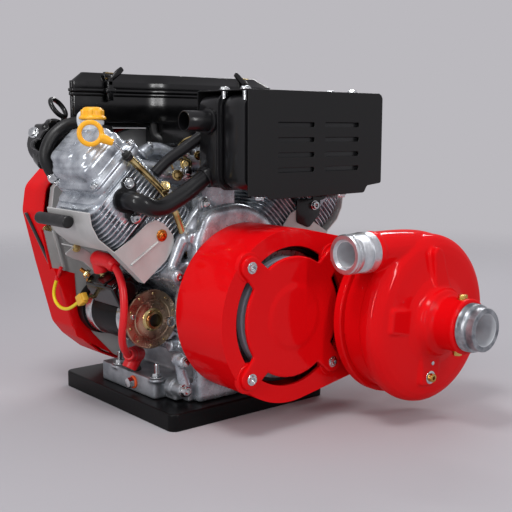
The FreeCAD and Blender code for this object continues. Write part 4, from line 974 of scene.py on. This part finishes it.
def makeAirCleaner():
    a = airCleaner
    base = joinTo(cleanerLayer(-1, a["bottom"], a["lip"], 9, 2.0),
                  cleanerLayer(-8, a["bottom"] - 7, a["bottom"] + 4, 9, 2.5),
                  cleanerLayer(2.0, a["lip"] - 5, a["lip"] - 0.6, 8, 0.8),
                  block((-76, -34, 386.4), (64, 34, 424), 5))
    # ribs under the floor
    for y in range(-92, 100, 26):
        joinTo(base, block((-150, y, a["bottom"] - 3), (a["front"] - 12, y + 2, a["bottom"] + 2)))
    standIn("airCleanerBase", base, "blackAbs", "air_cleaner_base")
    lid = joinTo(cleanerLayer(4, a["lip"] + 0.2, a["lip"] + 5, 9, 1.2),
                 cleanerLayer(0, a["lip"] + 3, a["bevelFrom"] + 2, 10, 0.8))
    # the crown's sides slope, because its top outline is drawn in
    crown = cleanerLayer(0, a["bevelFrom"], a["top"], 10)
    middleX, middleY = (a["front"] + a["rear"]) / 2, (a["left"] + a["right"]) / 2
    for v in crown.verts:
        if v.co.z > a["top"] - 1:
            v.co.x += a["bevelIn"] if v.co.x < middleX else -a["bevelIn"]
            if abs(v.co.y - middleY) > a["endsFrom"]:
                v.co.y += -a["bevelEnds"] if v.co.y > middleY else a["bevelEnds"]
    roundEdges(crown, 1.6, 3, lambda e: min(v.co.z for v in e.verts) > a["top"] - 1)
    joinTo(lid, crown)
    standIn("airCleanerLid", lid, "blackAbs", "air_cleaner_lid")
    latches, pins = bmesh.new(), bmesh.new()
    for y, lean in ((-122, -50), (130, 50)):
        x = a["front"] + (0 if y > 0 else -5)
        joinTo(latches, block((x + 1, y - 5, a["lip"] - 12), (x + 7, y + 5, a["top"] - 12), 1.2),
               slab([(x + 1, a["top"] - 16), (x + 7, a["top"] - 18), (x + 7, a["top"] - 9),
                     (x - 4, a["top"] + 1), (x - 10, a["top"] + 1)], y - 3.4, y + 3.4, "Y", edge=0.6),
               block((x - 2, y - 8, a["lip"] - 1), (x + 8, y + 8, a["lip"] + 6), 1.5))
        lever = Matrix.Translation((x + 5, y, a["top"] - 12)) @ Matrix.Rotation(math.radians(lean), 4, "X")
        joinTo(latches, slab([(-3.4, 0), (-4.6, 20), (-3.6, 29), (3.6, 29), (4.6, 20), (3.4, 0)], -3, 0, "X",
                             corner=2, edge=0.8), turn=lever)
        joinTo(pins, rod((x + 2, y - 6, a["top"] - 9), toY, 1.3, 12),
               rod((x + 3, y - 6, a["top"] - 1), toY, 1, 12))
    standIn("airCleanerLatches", latches, "blackAbs", "air_cleaner_latches")
    finishMesh("latchPins", pins, "yellowZinc", "air_cleaner_latches")


makeAirCleaner()
print("stage: air cleaner made")

# filler, dipstick, fuel pump, and the small parts around the intake and the exhaust

smallParts = {
    "capAt": (40, -192, 424), "capRadius": 18.5,
    "ringAt": (95.8, -227.2, 406), "ringFacing": (0.871, -0.491, 0), "stemEnd": (110, -202, 394),
    "tubeTop": (107, -176, 374), "fuelPumpAt": (-202.2, 388.5),
}


def makeFiller():
    x, y, z = smallParts["capAt"]
    r = smallParts["capRadius"]
    cap = turned([(0, 0), (0, r - 1), (1, r), (3.4, r), (4.4, r - 1.4), (5, 15.2), (12, 14.6), (15.6, 12.6),
                  (17, 9), (17, 0)], (x, y, z), toZ, 48)
    for i in range(6):
        turn = Matrix.Translation((x, y, z)) @ Matrix.Rotation(math.radians(60 * i + 20), 4, "Z")
        joinTo(cap, block((11, -3.4, 4), (16.2, 3.4, 13.5), 1.4), turn=turn)
    standIn("fillerCap", melted(cap, 0.8, 3), "yellowNylon", "oil_filler_cap", smoothAngle=50)
    neck = joinTo(rod((x, y, 396), toZ, 13, 28, edge=1), rod((x, y, 417), toZ, 15.5, 6.4, edge=1),
                  path([(x - 16, y - 4, 408, 6), (x - 20, y - 8, 422, 6), (x - 14, y - 8, 433, 6),
                        (x - 4, y - 2, 431, 6)], 6, 24))
    standIn("fillerNeck", neck, "paleNylon", "oil_filler_neck")


def makeDipstick():
    ringAt, facing = Vector(smallParts["ringAt"]), smallParts["ringFacing"]
    stemEnd, top = Vector(smallParts["stemEnd"]), Vector(smallParts["tubeTop"])
    handle = joinTo(turned([(-3.2, 12), (-3.2, 16), (-1.6, 17.5), (1.6, 17.5), (3.2, 16), (3.2, 12),
                            (1.6, 11), (-1.6, 11), (-3.2, 12)], ringAt, facing, 48),
                    path([(*(ringAt + (stemEnd - ringAt) * share), radius)
                          for share, radius in ((0.44, 6.6), (0.75, 6), (1.0, 4.6))], 5, 16))
    standIn("dipstickHandle", melted(handle, 0.8, 3), "yellowNylon", "dipstick", smoothAngle=50)
    heading = stemEnd - top
    finishMesh("dipstickRod", rod(top, heading, 1.8, heading.length + 1), "zinc", "dipstick")
    grommets = joinTo(rod(top - heading * 0.03, heading, 6.4, 12, tip=5.2, edge=0.8),
                      rod(top + heading * 0.1, heading, 7.4, 3.4, edge=0.8),
                      rod((107, -77.5, 231), (0, -0.35, 1), 9, 5, edge=1))
    finishMesh("dipstickGrommet", grommets, "blackRubber", "dipstick")
    tube = joinTo(path([(107, -76, 226), (107, -83, 246), (107, -94, 275), (107, -106, 305), (107, -128, 332),
                        (107, -153, 354), (107, -176, 374)], 4.9, 24),
                  block((100, -128, 326), (112, -116, 330), 1),
                  bolt((104, -118, 334), (1, -0.4, 0.2), 5, 5, washer=7))
    standIn("dipstickTube", tube, "yellowZinc", "dipstick_tube", smoothAngle=50)


def makeFuelPump():
    mesh = mergedCopy("fuel_pump")
    y, z = smallParts["fuelPumpAt"]
    joinTo(mesh, rod((-84, y, z), toX, 22, 6, tip=18), rod((-44, y, z), toX, 26, 8, tip=19),
           block((-78, y - 20, z + 14), (-46, y + 6, z + 30), 4), ball((-60, y + 4, z + 20), 18),
           rod((-66, y - 16, z - 18), (1, -0.3, -0.4), 11, 26, tip=8))
    standIn("fuelPumpBody", melted(mesh, 1.5, 4), "blackAbs", "fuel_pump", smoothAngle=50)
    screws = joinTo(bolt((-44, -238, 406), (0.5, -0.8, 0.3), 6, 6, washer=8),
                    bolt((-37, -201, 409), (0.6, -0.2, 0.8), 3.6, 4, sides=24, socket=1.8),
                    bolt((-14, -225, 344), (0.9, -0.5, 0), 6, 5, washer=8))
    finishMesh("fuelPumpScrews", screws, "zinc", "fuel_pump")


def makeIntake():
    # vent elbow, intake runner, linkage rods and fittings around the carburettor
    finishMesh("ventElbow", path([(-46, -38, 424, 7), (-45, -38, 407, 7), (-40, -34, 397, 7.6),
                                  (-24, -24, 392, 7.6), (-8, -16, 391, 7.6)], 7, 24), "blackRubber",
               "breather_hose", smoothAngle=60)
    runner = joinTo(path([(-6, -104, 356, 13), (-4, -84, 376, 13), (-2, -60, 381, 13), (4, -38, 368, 14),
                          (14, -24, 356, 15)], 13, 28), rod((-4, -92, 368), (0, 0.75, 0.66), 19, 6, edge=1.5),
                    block((-44, -112, 352), (-22, -62, 382), 6), rod((-34, -88, 378), toZ, 9, 10, edge=1.5),
                    block((-70, -70, 350), (-30, -20, 372), 5))
    finishMesh("intakeRunner", melted(runner, 1.6, 3), "castAluminium", "intake_manifold", smoothAngle=50)
    screws = joinTo(bolt((-34, -88, 388), toZ, 5, 4, washer=7, socket=2.4, sides=24),
                    bolt((12, -82, 388), (0.3, 0.6, 0.6), 5, 4, washer=7),
                    bolt((-20, -99, 386), (0.6, -0.4, 0.7), 5, 4, washer=7, sides=24))
    finishMesh("runnerScrews", screws, "zinc", "intake_manifold")
    rods = joinTo(path([(60, -64, 372), (70, -74, 384), (84, -72, 398), (100, -62, 402)], 2.2, 10),
                  path([(50, -70, 360), (66, -84, 366), (80, -88, 356)], 1.6, 8),
                  bolt((72, -60, 362), (1, -0.4, 0.2), 7, 5, washer=9, socket=3),
                  bolt((74, -40, 374), toX, 5, 4, washer=7),
                  bolt((70, -74, 346), (1, -0.3, 0.3), 6, 5, washer=8))
    finishMesh("linkage", rods, "yellowZinc", "carburettor", smoothAngle=45)
    fittings = joinTo(rod((60, -58, 350), (0.9, -0.4, 0), 8, 14, edge=1),
                      rod((66, -52, 372), (0.4, -0.8, 0.3), 5, 18, edge=1),
                      block((56, -70, 340), (72, -40, 346), 1.2), block((52, -66, 366), (60, -34, 384), 1.5),
                      bolt((84, -66, 352), (1, -0.2, 0), 5, 4, washer=7),
                      rod((44, -86, 352), (0.3, -1, 0), 7, 10, edge=1))
    finishMesh("carburettorFittings", fittings, "zinc", "carburettor")
    body = melted(joinTo(mergedCopy("carburettor"), rod((70, -10, 366), toX, 14, 8),
                         rod((64, 12, 360), toX, 9, 14), block((26, -30, 378), (72, 30, 386), 2)), 1.6, 3)
    standIn("carburettorBody", body, "castAluminium", "carburettor", smoothAngle=50)


def makeFaceTrim():
    # bolts of the exhaust flanges, the dark plate on the right bank, the rib and screw of the left guide
    bolts = [bolt((102.3, y, z), toX, 6.2, 5.5, washer=7.6, socket=3.2, sides=24)
             for y, z in ((-174.6, 340), (-165.6, 293), (174.6, 340), (165.6, 293))]
    finishMesh("exhaustBolts", joined(*bolts), "zinc", "left_exhaust_pipe")
    finishMesh("rightPlate", slab([(129, 304), (178, 302), (178, 278), (155, 258), (129, 268)], 100.1, 102.2,
                                  corner=4, edge=0.4), "blackStove", "right_exhaust_pipe")
    finishMesh("guideRib", path([(100.2, -172, 229, 1.6), (100.4, -150, 243, 2.0), (100.2, -128, 257, 1.6)],
                                2, 12), "sheetAluminium", "left_air_guide", smoothAngle=60)
    finishMesh("guideScrew", bolt((100.2, -122, 266), toX, 6.4, 5, washer=8.4, socket=3), "copperTone",
               "left_air_guide")


makeFiller()
makeDipstick()
makeFuelPump()
makeIntake()
makeFaceTrim()
print("stage: small parts made")

# cords: the routes of part.py, in mm

cables = {
    "batteryCable": {
        "route": [(32, -161, 222), (48, -163, 216), (62, -165, 203), (71, -167, 186), (74, -168, 166),
                  (71, -168, 146), (63, -166, 126), (54, -160, 108), (44, -149, 95), (33, -136, 84)],
        "diameter": 11.0, "material": "redVinyl", "node": "battery_cable", "stiffness": "medium",
    },
    "signalWire": {
        "route": [(-84, -188, 188), (-94, -189, 172), (-91, -190, 155), (-72, -191, 146), (-48, -191, 147),
                  (-27, -191, 156), (-14, -190, 164)],
        "diameter": 5.0, "material": "yellowWire", "node": "signal_wire", "stiffness": "limp",
    },
}


def makeCord(name):
    cable = cables[name]
    route = [[c * mm for c in place] for place in cable["route"]]
    data = smoothLine(name, route, cable["diameter"] / 2 * mm, 10, 6)
    data.materials.append(finish[cable["material"]])
    cord = bpy.data.objects.new(name, data)
    scene.collection.objects.link(cord)
    line = data.copy()
    line.bevel_depth = 0
    probe = bpy.data.objects.new("probe", line)
    spots = [v.co for v in bpy.data.meshes.new_from_object(probe).vertices]
    bpy.data.objects.remove(probe)
    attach(cord, "root")
    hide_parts(cable["node"])


for node, (material, bevel) in plainDress.items():
    standIn("look_" + node, mergedCopy(node), material, node, bevel=bevel)
print("stage: nodes dressed")

makeCord("batteryCable")
makeCord("signalWire")

# floor, background and lamps

studio = {
    "floor": "#B3B0B4",
    "background": "#BBB9BE",
    "worldStrength": 0.88,
    "floorClear": 900.0,
    "floorGone": 2600.0,
}


def makeFloor():
    mesh = bmesh.new()
    bmesh.ops.create_circle(mesh, cap_ends=True, segments=96, radius=studio["floorGone"] * mm)
    data = bpy.data.meshes.new("floor")
    mesh.to_mesh(data)
    mesh.free()
    material, tree, shader, place = newMaterial("palePaper", studio["floor"], {
        "Roughness": 0.9, "Specular IOR Level": 0.1})
    reach = addNode(tree, "ShaderNodeVectorMath", {"operation": "LENGTH"}, None, {0: place})
    fade = addNode(tree, "ShaderNodeMapRange", {"interpolation_type": "SMOOTHSTEP"},
                   {"From Min": studio["floorClear"] * mm, "From Max": studio["floorGone"] * mm,
                    "To Min": 1.0, "To Max": 0.0}, {"Value": reach.outputs["Value"]})
    tree.links.new(fade.outputs["Result"], shader.inputs["Alpha"])
    data.materials.append(material)
    floor = bpy.data.objects.new("floor", data)
    scene.collection.objects.link(floor)


def makeWorld():
    world = bpy.data.worlds.new("studio")
    scene.world = world
    world.use_nodes = True
    tree = world.node_tree
    tree.nodes.clear()
    rays = addNode(tree, "ShaderNodeLightPath")
    seen = addNode(tree, "ShaderNodeBackground", None,
                   {"Color": linear(studio["background"]), "Strength": 1.0})
    light = addNode(tree, "ShaderNodeBackground", None,
                    {"Color": linear("#C9CBD0"), "Strength": studio["worldStrength"]})
    direct = addNode(tree, "ShaderNodeMath", {"operation": "MAXIMUM"}, None,
                     {0: rays.outputs["Is Camera Ray"], 1: rays.outputs["Is Glossy Ray"]})
    clear = addNode(tree, "ShaderNodeMath", {"operation": "MAXIMUM"}, None,
                    {0: direct.outputs[0], 1: rays.outputs["Is Transmission Ray"]})
    mix = addNode(tree, "ShaderNodeMixShader", None, None,
                  {0: clear.outputs[0], 1: light.outputs[0], 2: seen.outputs[0]})
    addNode(tree, "ShaderNodeOutputWorld", None, None, {"Surface": mix.outputs[0]})


lamps = {
    # name: place and aim in metres, width, height, watts
    "overhead": ((0.35, -0.6, 1.7), (0.1, 0.0, 0.25), 0.45, 0.4, 11.0),
    "leftStrip": ((0.75, -1.9, 0.85), (0.0, 0.0, 0.25), 0.12, 1.2, 12.0),
    "rightStrip": ((2.1, 0.2, 1.1), (0.2, 0.1, 0.2), 0.08, 0.9, 9.0),
    "back": ((-0.7, 1.4, 1.35), (0.2, 0.1, 0.25), 1.3, 0.09, 12.0),
}


def makeLamps():
    for name, (place, aim, width, height, watts) in lamps.items():
        data = bpy.data.lights.new(name, "AREA")
        data.shape = "RECTANGLE"
        data.size = width
        data.size_y = height
        data.energy = watts
        lamp = bpy.data.objects.new(name, data)
        scene.collection.objects.link(lamp)
        lamp.location = place
        lamp.rotation_euler = (Vector(aim) - Vector(place)).to_track_quat("-Z", "Y").to_euler()


makeFloor()
makeWorld()
makeLamps()
scene.view_settings.view_transform = "Standard"
print("stage: studio set")
